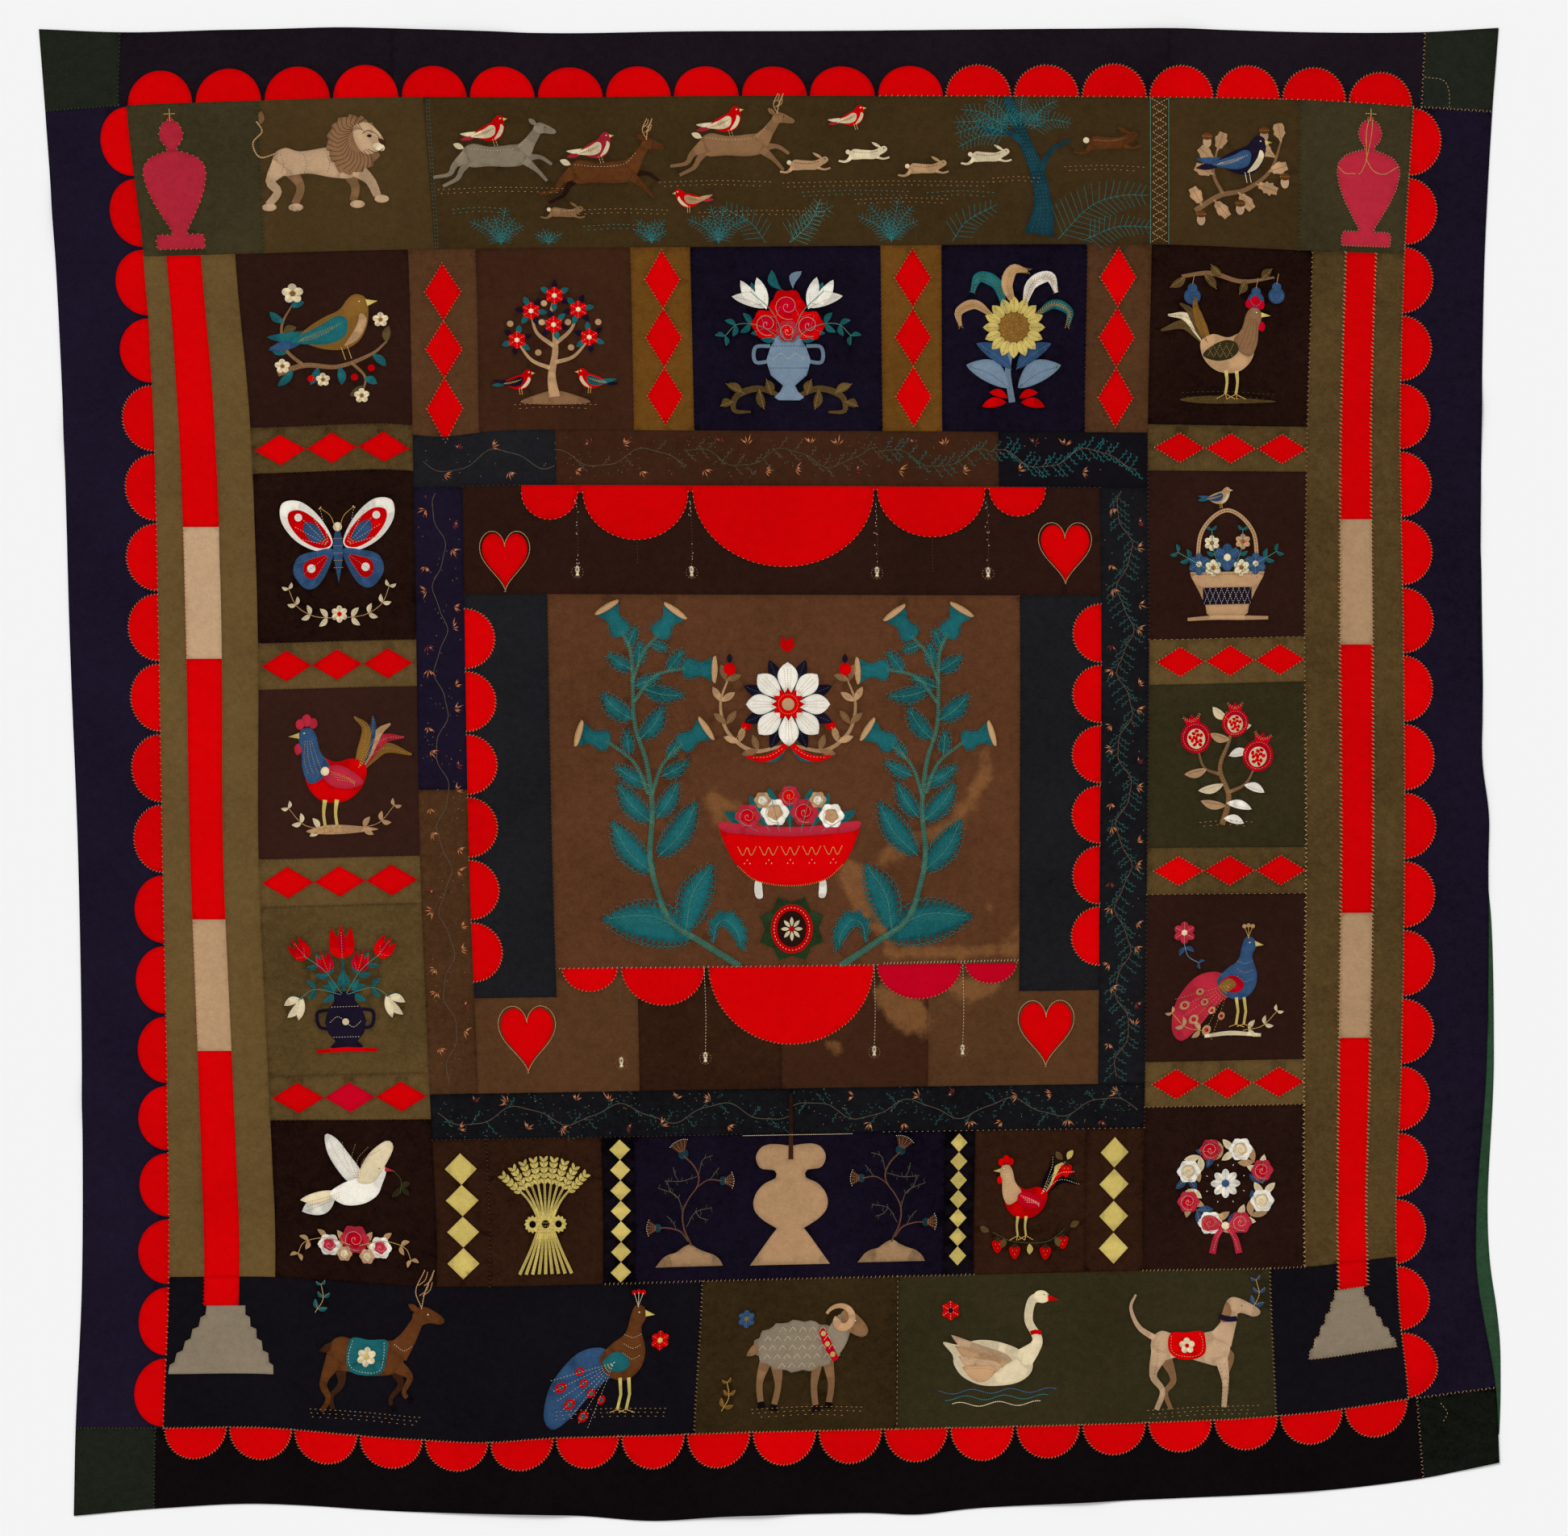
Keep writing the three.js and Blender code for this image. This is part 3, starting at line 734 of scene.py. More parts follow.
def add_hearts():
    """Red hearts, each with a tan line sewn a little way outside it."""
    for spot in HEARTS:
        u, v, w, h = (spot[key] for key in "uvwh")
        PANELS[spot["panel"]].inlay("scarlet", heart(u, v, w, h), "panel")
        stem_stitch("seam", "tan", ring(heart(u, v, w + HEART_LINE, h + HEART_LINE)), 1.5)


CANOPY_SWAGS = table(
    "u0 u1 deep",
    (-406, -319, 41), (-311, -148, 74), (-141, 141.6, 118), (146.7, 316.2, 74), (322.6, 411.5, 43))
LOWER_SWAGS = table(
    "u0 u1 deep dye",
    (-358, -272, 37, "scarlet"), (-265.5, -135, 60, "scarlet"), (-129, 133.5, 124, "scarlet"),
    (138.5, 275, 55, "crimson"), (281, 364, 32, "crimson"))


# The hem that the canopy's swags hang from: where it starts, how far it runs and how much it rises
HEM_U = -406
HEM_LONG = 817
HEM_V = 419
HEM_RISE = 11
TASSEL_TOP = 414
TASSEL_END = 294
LOWER_TASSELS = table(
    "u end thread",
    (-269, -474, "ash"), (-136, -468, "cream"), (134, -462, "cream"), (277, -462, "cream"))


def tassel(u, top, bottom, thread, knot):
    """A sewn cord with a ring, a knot and a fan of loose ends at its foot."""
    line = curve((u, top), (u + 1.5, (top + bottom) / 2), (u, bottom + 12))
    running("seam", thread, line, 5.0, 4.0, 1.1)
    angles = np.radians(np.arange(0, 360, 30))
    sew("seam", knot, u + 2.2 * np.cos(angles), bottom + 7 + 4.5 * np.sin(angles), angles, 5.0, 2.0)
    across = angles + math.pi / 2
    sew("seam", "fawn", u + 9 * np.cos(angles), bottom + 3 + 9 * np.sin(angles), across, 3.4, 1.2)
    fan = np.radians([-112, -101, -90, -79, -68])
    sew("seam", knot, u + 5 * np.cos(fan), bottom + 4 + 5 * np.sin(fan), fan, 8.0, 1.4)


def add_canopy_swags():
    """The swags under the hem are one piece, with tassels between them."""
    hem = []
    for swag in CANOPY_SWAGS:
        ends = [(u, HEM_V + HEM_RISE * (u - HEM_U) / HEM_LONG) for u in (swag["u0"], swag["u1"])]
        shape = half_disc(*ends, -swag["deep"])
        running("seam", "tan", shape, 8.5, 3.6, 1.2)
        hem.append(shape)
    top = [(CANOPY_SWAGS[-1]["u1"], CANOPY_TOP), (CANOPY_SWAGS[0]["u0"], CANOPY_TOP)]
    PANELS["canopy"].inlay("scarlet", np.concatenate([*hem, top]), "panel", -0.03)
    for u in (-321, -144.5, 144.5, 319):
        tassel(u, TASSEL_TOP, TASSEL_END, "brown", "cream")
        specks = TASSEL_TOP - 6 - 110 * DRAW.random(14) ** 2
        sew("seam", "cream", u + 1.6 * DRAW.standard_normal(14), specks, 1.4, 2.6, 1.3)
    for u, top, bottom in ((-228, 348, 312), (232, 350, 300)):
        running("seam", "brown", straight(u, top, u, bottom), 5.0, 3.4, 1.0)


def add_swags():
    add_canopy_swags()
    for swag in LOWER_SWAGS:
        shape = half_disc((swag["u0"], CENTRE_BOTTOM), (swag["u1"], CENTRE_BOTTOM), -swag["deep"])
        PANELS["lower"].inlay(swag["dye"], shape, "panel", 0.02 * DRAW.standard_normal())
        overcast("seam", "tan", shape, 6.4, 5.4, 62, 0.9)
    for cord in LOWER_TASSELS:
        tassel(cord["u"], CENTRE_BOTTOM - 3, cord["end"], cord["thread"], "cream")
    overcast("seam", "cream", straight(150, CENTRE_BOTTOM + 2, 366, CENTRE_BOTTOM + 4), 5.4, 6.5)
    overcast("seam", "pink", straight(-362, CENTRE_BOTTOM, 140, CENTRE_BOTTOM), 7.5, 5.5)
    scallop_row("side_left", (-VINE_IN, -343), (-VINE_IN, 243), 6, 4.5, -47, "panel", range(6))
    scallop_row("side_right", (VINE_IN, 252), (VINE_IN, -329), 6, 4.5, -44.5, "panel", range(6))


VASE = [(5, -602.5), (18, -600.5), (34, -600), (47, -604), (54.5, -613), (56.5, -622), (53, -632), (46, -638),
        (26, -641), (24.5, -652), (43, -661), (56, -675), (60.5, -690), (57, -704), (44, -717), (22, -730),
        (32, -742), (65, -786)]
MOUND = [(-55, -785), (-44, -772), (-34, -766), (-22, -763), (-8, -754), (3, -751), (12, -757), (26, -763),
         (40, -768), (50, -776), (55, -785)]


def add_vase_panel():
    rounded = [*curve(*VASE[:-2]), *VASE[-2:]]
    PANELS["vase"].inlay("tan", mirrored(*rounded), "panel", -0.2)
    for name in ("vase", "vine_bottom"):
        rod = np.array([(-4, -624), (4, -624), (2.5, -522), (-2.5, -522)], float)
        PANELS[name].inlay("chestnut", rod, "panel", 0.15 if name == "vase" else -0.2)
    stem_stitch("seam", "bone", [(-76, VINE_BOTTOM - 2), (98, VINE_BOTTOM - 2)], 1.2)
    for middle in (-164, 165):
        PANELS["vase"].inlay("tan", curve(*MOUND) + (middle, 0), "panel", -0.34)


# Where a strip of ground was pieced from cloths of other colours
JOINS = table(
    "panel dye rect shade",
    ("vine_top", "midnight", (-FIGURE_IN, CANOPY_TOP, -352, VINE_TOP), 0.0),
    ("vine_top", "ink", (338, CANOPY_TOP, FIGURE_IN, VINE_TOP), 0.0),
    ("vine_left", "hazel", (-FIGURE_IN, LOWER_BOTTOM, -VINE_IN, -40), -0.25),
    ("border_top", "black", (-CORNER_IN, FIELD_TOP, -578, EDGE_TOP), -0.05),
    ("border_top", "black", (600, FIELD_TOP, CORNER_IN, EDGE_TOP), 0.1),
    ("vase", "black", (-304, RIDERS, -252, VINE_BOTTOM), -0.5),
    ("vase", "black", (250, RIDERS, 299, VINE_BOTTOM), -0.5),
    ("lower", "chestnut", (-241, LOWER_BOTTOM, -15, CENTRE_BOTTOM), -0.32),
    ("lower", "chestnut", (-15, LOWER_BOTTOM, 221, CENTRE_BOTTOM), 0.0))


def add_joins():
    """The joins come before every other inlay of their panels, so they lie beneath."""
    for join in JOINS:
        PANELS[join["panel"]].inlay(join["dye"], box(*join["rect"]), "join", join["shade"])


# Flowers, leaves and other small parts of the motifs

def hairs(p, thread, points, step=3.2, length=5.0, lean=38.0, width=0.8):
    """Short stitches that stand out on both sides of a line, towards its end."""
    u, v, way = resample(p.on_plan(points), step)
    for side in (-1, 1):
        turn = way + side * math.radians(lean)
        sew("motif", thread, u + length * 0.5 * np.cos(turn), v + length * 0.5 * np.sin(turn), turn, length,
            width)


def bloom(p, x, y, r, petals, dye, heart_dye, thread=None):
    """An open flower: round petals about a round heart."""
    for a in spokes(petals, 90):
        wide = min(r * 0.42, r * 2.2 / petals)
        p.oval(dye, *ray(x, y, r * 0.55, a), r * 0.46, wide, math.degrees(a))
        if thread:
            p.run(thread, [ray(x, y, r * 0.32, a), ray(x, y, r * 0.85, a)], 3.4, 2.8)
    p.oval(heart_dye, x, y, r * 0.27)


def rose(p, x, y, r, outer, inner, thread):
    """A full round flower: a lobed rim, a smaller whorl inside, and a sewn spiral."""
    a = np.radians(np.arange(0, 360, 15))
    rim = r * (1 + 0.09 * np.cos(6 * a))
    p.cut(outer, np.stack([x + rim * np.cos(a), y + rim * np.sin(a)], 1))
    rim = r * 0.56 * (1 + 0.1 * np.cos(5 * a + 1))
    p.cut(inner, np.stack([x + rim * np.cos(a), y + rim * np.sin(a)], 1))
    t = np.linspace(0, 3.6 * math.pi, 40)
    grow = r * 0.8 * t / t[-1]
    p.stem(thread, np.stack([x + grow * np.cos(t), y + grow * np.sin(t)], 1), 0.9)


def tulip(p, x, y, r, turn, dye, middle):
    """A cup of three petals that opens away from (x, y)."""
    q = p.sub(x, y, r / 20, turn - 90)
    q.blob(dye, (0, -2), (13, 4), (16, 18), (12, 36), (5, 24), (0, 40), (-5, 24), (-12, 36), (-16, 18),
           (-13, 4))
    q.leaf(middle, 0, 3, 0, 33, 10)
    q.run("gold", curve((0, 0), (0, 16), (0, 30)))


# Where along its stem the first leaf sits, how much smaller the last one is, and how far they lean
FIRST_LEAF = 0.12
LEAF_SHRINK = 0.4
LEAF_LEAN = math.radians(48)
FERN_LEAN = math.radians(52)


def leafy(p, points, dye, thread, count, long, wide):
    """Leaves on both sides of a sewn stem, smaller towards its tip."""
    p.stem(thread, points, 1.5)
    u, v, way = resample(points, 1.0)
    for k in range(count):
        share = FIRST_LEAF + (1 - FIRST_LEAF) * k / max(1, count - 1)
        at = min(len(u) - 1, int(share * (len(u) - 1)))
        size = 1 - LEAF_SHRINK * share
        for side in (-1, 1):
            tip = ray(u[at], v[at], long * size, way[at] + side * LEAF_LEAN)
            p.leaf(dye, u[at], v[at], *tip, wide * size, side * long * 0.08, 0.45)
            root = np.array([u[at], v[at]])
            p.run(thread, [root, root + (np.array(tip) - root) * 0.8], 3.6, 3.0, 0.8)


def plume(p, points, dye, thread, wide):
    """A curling feather with sewn barbs."""
    p.cut(dye, strip(points, wide * 0.3, wide * 0.8, wide, wide * 0.8, wide * 0.25))
    p.stem(thread, points[:-3], 0.9)
    hairs(p, thread, points[::2], 4.0, wide * 0.5, 42)


def vessel(p, dye, profile, bands=(), thread="gold"):
    """A pot from its right-hand profile, with sewn bands at the heights given."""
    shape = mirrored(*profile)
    p.cut(dye, shape)
    heights = np.array([y for _, y in profile])
    halves = np.array([x for x, _ in profile])
    order = np.argsort(heights)
    for y in bands:
        half = np.interp(y, heights[order], halves[order]) - 3
        p.run(thread, [(-half, y), (half, y)], 4.4, 3.2, 1.1)


def grass(p, thread, x0, x1, y, rows=3):
    """Broken lines of running stitch for the ground under a motif."""
    for k in range(rows):
        inset = 9 * k * DRAW.random()
        line = curve((x0 + inset, y - 6 * k), ((x0 + x1) / 2, y - 6 * k + 2.5), (x1 - inset * 2, y - 6 * k))
        p.run(thread, line, 8 + 2 * k, 4.2, 1.0)


def eye(p, x, y, light=None):
    if light:
        p.seed(light, [(x, y)], 4.0, 0.0, 3.0)
    p.seed("black", [(x, y)], 2.4, 0.0, 1.8)


# Birds and beasts, each drawn facing right

def songbird(p, body, wing, tail, breast, thread="gold"):
    p.leaf(tail, -30, 4, -88, -8, 15, 2)
    p.leaf(wing, -30, 8, -86, 10, 13, 4)
    p.blob(body, (50, 35), (46, 45), (36, 49), (26, 44), (13, 31), (-8, 24), (-30, 14), (-44, 3),
           (-34, -10), (-12, -21), (12, -24), (31, -15), (43, 2), (48, 18))
    p.blob(breast, (45, 14), (40, 0), (28, -14), (10, -20), (20, -8), (32, 8), (38, 22))
    p.blob(wing, (20, 16), (8, 23), (-14, 14), (-56, -1), (-32, -10), (-6, -13), (14, -5))
    for k in range(4):
        p.run(thread, curve((12 - 6 * k, 12 - 3 * k), (-14 - 5 * k, 6 - 3 * k), (-40 - 2 * k, 0 - k)), 3.6)
    p.cut("yellow", [(48, 40), (63, 35), (49, 30)])
    eye(p, 40, 38, "cream")
    for x in (6, 14):
        p.stem(thread, [(x, -22), (x + 2, -38)], 1.5)


def cockerel(p, body, neck, tails, wing, comb="scarlet", thread="gold"):
    for k, dye in enumerate(tails):
        a = math.radians(168 - 22 * k)
        tip = ray(-34, 14, 66, a)
        middle = (-42 + 20 * math.cos(a), 30 + 30 * math.sin(a))
        p.band(dye, [(-26, 8), middle, tip], 10, 16, 13, 3)
        p.run(thread, curve((-28, 12), middle, tip), 4, 3.2)
    p.blob(body, (-38, 12), (-32, -14), (-10, -32), (20, -32), (40, -14), (44, 12), (30, 30), (4, 20),
           (-20, 24))
    p.blob(neck, (12, 16), (24, 34), (30, 56), (38, 66), (50, 64), (54, 52), (50, 34), (48, 10), (38, -8),
           (20, 0))
    for k in range(4):
        p.run(thread, curve((20 + 7 * k, 4 + k), (28 + 6 * k, 24), (36 + 3 * k, 48)), 4, 3.2)
    for x, y, r in ((34, 72, 6), (43, 76, 7), (52, 71, 6)):
        p.oval(comb, x, y, r, r * 1.2)
    p.blob(comb, (54, 46), (60, 40), (56, 30), (49, 36))
    p.cut("yellow", [(53, 60), (68, 55), (53, 52)])
    eye(p, 46, 59, "cream")
    p.blob(wing, (16, 12), (2, 16), (-18, 8), (-34, -8), (-14, -16), (8, -12), (20, 0))
    for k in range(4):
        p.run(thread, curve((12 - 4 * k, 8 - 4 * k), (-6 - 4 * k, 2 - 3 * k), (-22, -6 - 2 * k)), 3.6)
    for x in (2, 18):
        p.band("yellow", [(x, -30), (x + 2, -48), (x, -66)], 6, 4, 4)
        for toe in (-12, 2, 14):
            p.stem("gold", [(x, -66), (x + toe, -73)], 1.8)


def peafowl(p, body, train, eyes, heart_dye, thread="gold"):
    p.blob(train, (-6, 6), (-28, 22), (-62, 14), (-92, -24), (-98, -66), (-84, -84), (-62, -70), (-40, -44),
           (-18, -22), (4, -10))
    for k in range(7):
        a = math.radians(196 + 8.5 * k)
        for far, r in ((56, 5.2), (84, 6.6)):
            x = 2 + far * math.cos(a) * 1.05
            y = 8 + far * math.sin(a) * 1.06
            if (k + (far > 60)) % 2 == 0:
                p.oval(eyes, x, y, r * 1.25, r, math.degrees(a))
                p.oval(heart_dye, x, y, r * 0.55)
        p.run(thread, [(-8, 2), ray(2, 8, 98, a)], 5, 3.6, 0.8)
    p.blob(body, (26, 46), (32, 60), (28, 74), (16, 76), (10, 62), (4, 40), (-14, 26), (-28, 8), (-16, -14),
           (8, -22), (28, -8), (34, 16))
    p.blob(heart_dye, (6, 12), (-8, 16), (-24, 4), (-14, -8), (4, -10), (14, 0))
    p.cut("yellow", [(30, 70), (44, 63), (31, 61)])
    eye(p, 22, 67, "cream")
    for k in range(3):
        a = math.radians(70 + 20 * k)
        p.stem(thread, [(20, 75), ray(20, 75, 17, a)], 1.1)
        p.oval(eyes, *ray(20, 75, 19, a), 3.4)
    for x in (2, 14):
        p.cut("yellow", strip([(x, -18), (x + 3, -40), (x, -60)], 5, 4, 4))
        p.stem("gold", [(x - 9, -63), (x, -60), (x + 11, -64)], 1.8)
    for k in range(3):
        p.run(thread, curve((26, 38 - 14 * k), (16, 34 - 14 * k), (4, 38 - 12 * k)))


def legs(p, dye, paths, hoof=None):
    """Legs as tapered bands: (the points, the widths) of each."""
    for points, widths in paths:
        line = curve(*points)
        p.cut(dye, strip(line, *widths))
        if hoof:
            p.cut(hoof, strip(line[-3:], widths[-1] + 1, widths[-1] + 3))


def antlers(p, x, y, size=1.0):
    for bend in (0, 14):
        tip = (x + (2 + bend) * size, y + 52 * size)
        p.stem("tan", curve((x, y), (x - (10 - bend) * size, y + 24 * size), tip), 2.2)
        for k in (0.35, 0.62):
            root = (x - (9 - bend) * size * k, y + 52 * size * k)
            p.stem("tan", curve(root, (root[0] + 9 * size, root[1] + 7 * size),
                                (root[0] + 12 * size, root[1] + 17 * size)), 1.8)


def stag(p, coat, dark, cloth_dye, trim, thread="cream"):
    """A stag at the trot with a flowered cloth on its back."""
    legs(p, dark, [([(34, -4), (50, -28), (38, -50), (46, -66)], (18, 9, 7, 5)),
                   ([(-44, 0), (-36, -34), (-48, -54), (-40, -80)], (24, 11, 7, 6))], "jet")
    p.blob(coat, (-60, 20), (-62, 2), (-52, -14), (-20, -17), (12, -19), (38, -14), (49, 2), (52, 24),
           (44, 34), (18, 30), (-20, 28), (-46, 31))
    p.band(coat, [(38, 14), (52, 36), (64, 62)], 36, 24, 17)
    p.blob(coat, (55, 66), (62, 79), (76, 80), (98, 68), (103, 60), (97, 56), (80, 58), (66, 54))
    legs(p, coat, [([(42, -4), (62, -18), (56, -40), (70, -52)], (20, 10, 7, 5)),
                   ([(-50, 0), (-62, -36), (-52, -58), (-64, -84)], (27, 12, 8, 6))], "jet")
    p.leaf(dark, -58, 22, -74, 8, 11, 3)
    p.leaf(coat, 64, 74, 48, 84, 9)
    antlers(p, 68, 79)
    eye(p, 78, 70, "cream")
    p.blob(cloth_dye, (-30, 30), (-34, 4), (-26, -16), (0, -20), (20, -14), (24, 8), (22, 31), (-4, 30))
    rim = curve((-28, 26), (-31, 4), (-23, -12), (0, -16), (17, -11), (20, 8), (18, 27))
    p.run(thread, rim, 4.6, 3.4, 1.2)
    bloom(p, -5, 6, 14, 6, trim, "yellow", thread)
    p.run(thread, curve((34, 26), (48, 18), (58, 24)), 4, 3, 1.0)
    p.run("brown", curve((-52, 12), (-44, -4), (-40, -12)))


def ram(p, coat, dark, horn, trim, thread="cream"):
    """A shaggy ram with curled horns and a garland."""
    legs(p, dark, [([(34, -12), (40, -44), (36, -76)], (16, 9, 8)),
                   ([(-38, -12), (-34, -44), (-40, -78)], (18, 9, 8)),
                   ([(20, -14), (16, -46), (20, -80)], (15, 9, 8)),
                   ([(-52, -8), (-60, -40), (-56, -74)], (18, 9, 8))], "jet")
    a = np.radians(np.arange(0, 360, 7.5))
    wave = 1 + 0.05 * np.cos(15 * a)
    p.cut(coat, np.stack([-8 + 62 * wave * np.cos(a), 8 + 34 * wave * np.sin(a)], 1))
    p.blob(coat, (30, 20), (40, 40), (52, 50), (64, 40), (62, 16), (48, -6), (30, -10))
    p.blob(dark, (52, 52), (66, 54), (86, 36), (90, 24), (82, 18), (66, 24), (54, 34))
    t = np.linspace(0.4, 2.1 * math.pi, 30)
    r = 24 * (1 - 0.12 * t)
    p.cut(horn, strip(np.stack([52 - r * np.cos(t), 42 + r * np.sin(t) * 0.95], 1), 4, 9, 11, 11))
    eye(p, 72, 40, "cream")
    for k in range(5):
        for j in range(8):
            x = -58 + 14 * j + 7 * (k % 2)
            y = -18 + 12 * k
            if ((x + 8) / 58) ** 2 + ((y - 8) / 30) ** 2 < 0.9:
                p.stem(thread, curve((x - 4, y - 2), (x, y + 3), (x + 4, y - 1)), 0.9)
    p.band(trim, [(24, 30), (34, 8), (46, -12)], 9, 12, 9)
    for x, y in ((27, 24), (33, 10), (41, -4)):
        p.oval("yellow", x, y, 3.6)
    p.leaf(dark, -66, 14, -80, -4, 12, 3)


def hound(p, coat, patch, collar, saddle, thread="brown"):
    """A tall hound, one foot raised, with a fringed cloth on its back."""
    legs(p, patch, [([(30, 0), (52, -8), (44, -34)], (15, 8, 6)),
                    ([(-42, -2), (-30, -38), (-42, -56), (-36, -80)], (22, 10, 7, 6))])
    p.blob(coat, (-56, 18), (-58, 0), (-44, -12), (-18, -8), (10, -16), (34, -22), (48, -10), (52, 14),
           (44, 28), (16, 24), (-20, 22), (-42, 28))
    p.band(coat, [(38, 12), (50, 34), (56, 56)], 34, 22, 18)
    p.blob(coat, (46, 58), (54, 71), (68, 70), (92, 56), (95, 48), (86, 44), (68, 50), (52, 46))
    p.blob(patch, (50, 66), (44, 54), (40, 40), (48, 38), (56, 52))
    legs(p, coat, [([(38, -10), (42, -44), (38, -80)], (19, 9, 7)),
                   ([(-46, 0), (-58, -32), (-46, -54), (-56, -80)], (26, 11, 8, 7))])
    p.band(coat, [(-52, 18), (-74, 34), (-84, 60), (-76, 78)], 9, 7, 5, 3)
    eye(p, 70, 60)
    p.band(collar, [(38, 46), (50, 42), (63, 42)], 7, 8, 7)
    p.blob(saddle, (-30, 24), (-34, 2), (-22, -10), (0, -12), (16, -4), (18, 14), (14, 26), (-8, 25))
    p.run("gold", curve((-29, 20), (-30, 2), (-20, -6), (0, -8), (12, -2), (14, 14), (11, 22)), 4.4, 3.2,
          1.2)
    bloom(p, -8, 7, 11, 5, "cream", "scarlet")
    for x in (36, 43):
        p.run(thread, curve((x, -20), (x + 2, -44), (x, -74)), 6, 3, 0.8)
    p.run(thread, curve((-48, 12), (-50, -8), (-56, -30)), 5, 3, 0.8)


def swan(p, coat, wing, beak, shade_dye, thread="tan"):
    """A swan on rippled water."""
    p.blob(coat, (-70, 6), (-84, 24), (-60, 20), (-34, 26), (-6, 24), (24, 14), (46, -2), (44, -22),
           (20, -36), (-24, -38), (-54, -26), (-68, -8))
    p.band(coat, [(30, -6), (56, 22), (44, 52), (50, 80), (66, 84)], 34, 17, 12, 13, 13)
    p.oval(coat, 64, 85, 12, 9, -10)
    p.cut(beak, [(73, 88), (90, 80), (74, 78)])
    eye(p, 68, 88)
    for k, dye in enumerate((shade_dye, wing, shade_dye, wing)):
        p.leaf(dye, 18 - 8 * k, -4 - 4 * k, -72 + 5 * k, 34 - 15 * k, 24, 8, 0.4)
        p.run(thread, curve((14 - 8 * k, -4 - 4 * k), (-28, 16 - 10 * k), (-64 + 5 * k, 31 - 15 * k)), 4, 3,
              1.0)
    p.band("scarlet", [(46, 34), (54, 36), (62, 34)], 6, 6)
    for k, thread_name in enumerate(("blue", "teal", "cream")):
        y = -46 - 9 * k
        wave = np.linspace(-90 + 10 * k, 80 - 12 * k, 60)
        p.stem(thread_name, np.stack([wave, y + 3 * np.sin(wave / 9 + k)], 1), 1.6)


def deer(p, coat, dark, thread="cream", horns=True):
    """A small deer at full leap."""
    legs(p, dark, [([(32, 0), (54, 2), (70, -8)], (12, 6, 4)),
                   ([(-38, 2), (-52, -16), (-58, -26), (-78, -36)], (16, 8, 5, 4))])
    p.blob(coat, (-48, 12), (-50, -2), (-38, -11), (-14, -10), (14, -11), (34, -7), (43, 6), (40, 18),
           (22, 19), (-10, 16), (-34, 20))
    p.band(coat, [(32, 8), (44, 24), (54, 38)], 24, 15, 11)
    p.blob(coat, (48, 40), (54, 48), (63, 47), (78, 38), (76, 33), (62, 34), (52, 33))
    legs(p, coat, [([(34, -2), (50, -16), (62, -30)], (13, 6, 4)),
                   ([(-42, 4), (-60, -8), (-68, -20), (-90, -24)], (19, 9, 5, 4))])
    p.leaf(coat, 53, 45, 43, 54, 7)
    p.leaf("cream", -46, 14, -60, 20, 8)
    if horns:
        antlers(p, 56, 47, 0.5)
    eye(p, 64, 42)
    p.run(thread, curve((-40, 14), (-10, 11), (24, 14), (40, 28)), 5)


def hare(p, coat, thread="cream"):
    """A running hare, seen small."""
    p.blob(coat, (-28, 4), (-24, -5), (-4, -6), (16, -7), (25, -1), (33, 3), (38, 8), (34, 14), (26, 12),
           (14, 8), (-4, 10), (-20, 12))
    p.leaf(coat, 28, 11, 12, 22, 5)
    legs(p, coat, [([(18, -4), (30, -8), (40, -6)], (5, 3, 3)),
                   ([(-22, 0), (-34, -8), (-46, -6)], (8, 4, 3))])
    p.oval("cream", -29, 8, 4)
    p.run(thread, curve((-18, 7), (2, 4), (20, 6)))
    eye(p, 32, 10)


def lion(p, coat, mane, dark):
    """A walking lion, with the mane sewn in curls."""
    legs(p, dark, [([(30, -4), (40, -26), (36, -44)], (17, 11, 9)),
                   ([(-40, 0), (-26, -24), (-34, -46)], (18, 10, 9))])
    p.blob(coat, (-56, 18), (-58, 0), (-46, -10), (-16, -8), (14, -14), (38, -14), (46, 4), (40, 24),
           (10, 24), (-24, 20), (-42, 25))
    legs(p, coat, [([(40, -2), (58, -18), (66, -38)], (22, 13, 10)),
                   ([(-48, 4), (-62, -16), (-54, -30), (-66, -46)], (26, 13, 10, 9))])
    for x, y in ((68, -42), (-68, -49), (38, -48), (-36, -50)):
        p.oval(coat, x + 3, y, 9, 5)
    p.stem("tan", curve((-54, 18), (-74, 14), (-82, 32), (-70, 46), (-76, 58)), 3.4)
    p.leaf(mane, -76, 54, -70, 72, 12)
    a = np.radians(np.arange(0, 360, 5))
    shag = 1 + 0.13 * (a * 15 / (2 * math.pi) % 1) + 0.16 * np.exp(-((a - math.radians(245)) / 0.4) ** 2)
    p.cut(mane, np.stack([42 + 31 * shag * np.cos(a), 28 + 33 * shag * np.sin(a)], 1))
    p.blob(coat, (44, 50), (60, 54), (74, 42), (80, 28), (72, 18), (56, 14), (46, 24), (42, 38))
    p.oval("cream", 73, 23, 7.5, 5, -20)
    p.blob("chestnut", (73, 34), (82, 30), (80, 25), (74, 28))
    p.oval("chestnut", 62, 37, 3, 2)
    p.stem("brown", curve((55, 41), (61, 44), (68, 41)))
    p.stem("brown", curve((60, 20), (68, 16), (77, 20)), 1.2)
    p.stem("brown", curve((70, 40), (74, 35), (75, 30)), 1.0)
    for angle in range(62, 322, 13):
        a = math.radians(angle)
        b = math.radians(angle + 14)
        p.stem("brown", curve((48 + 14 * math.cos(a), 31 + 15 * math.sin(a)),
                              (44 + 22 * math.cos(b), 29 + 24 * math.sin(b)),
                              (42 + 33 * math.cos(a), 28 + 35 * math.sin(a))), 1.0)
    for x in (-48, -20, 8):
        p.run("brown", curve((x, 16), (x + 3, 4), (x, -6)), 4.5, 3, 0.8)


# The motifs, block by block. All are general designs made up for this model.

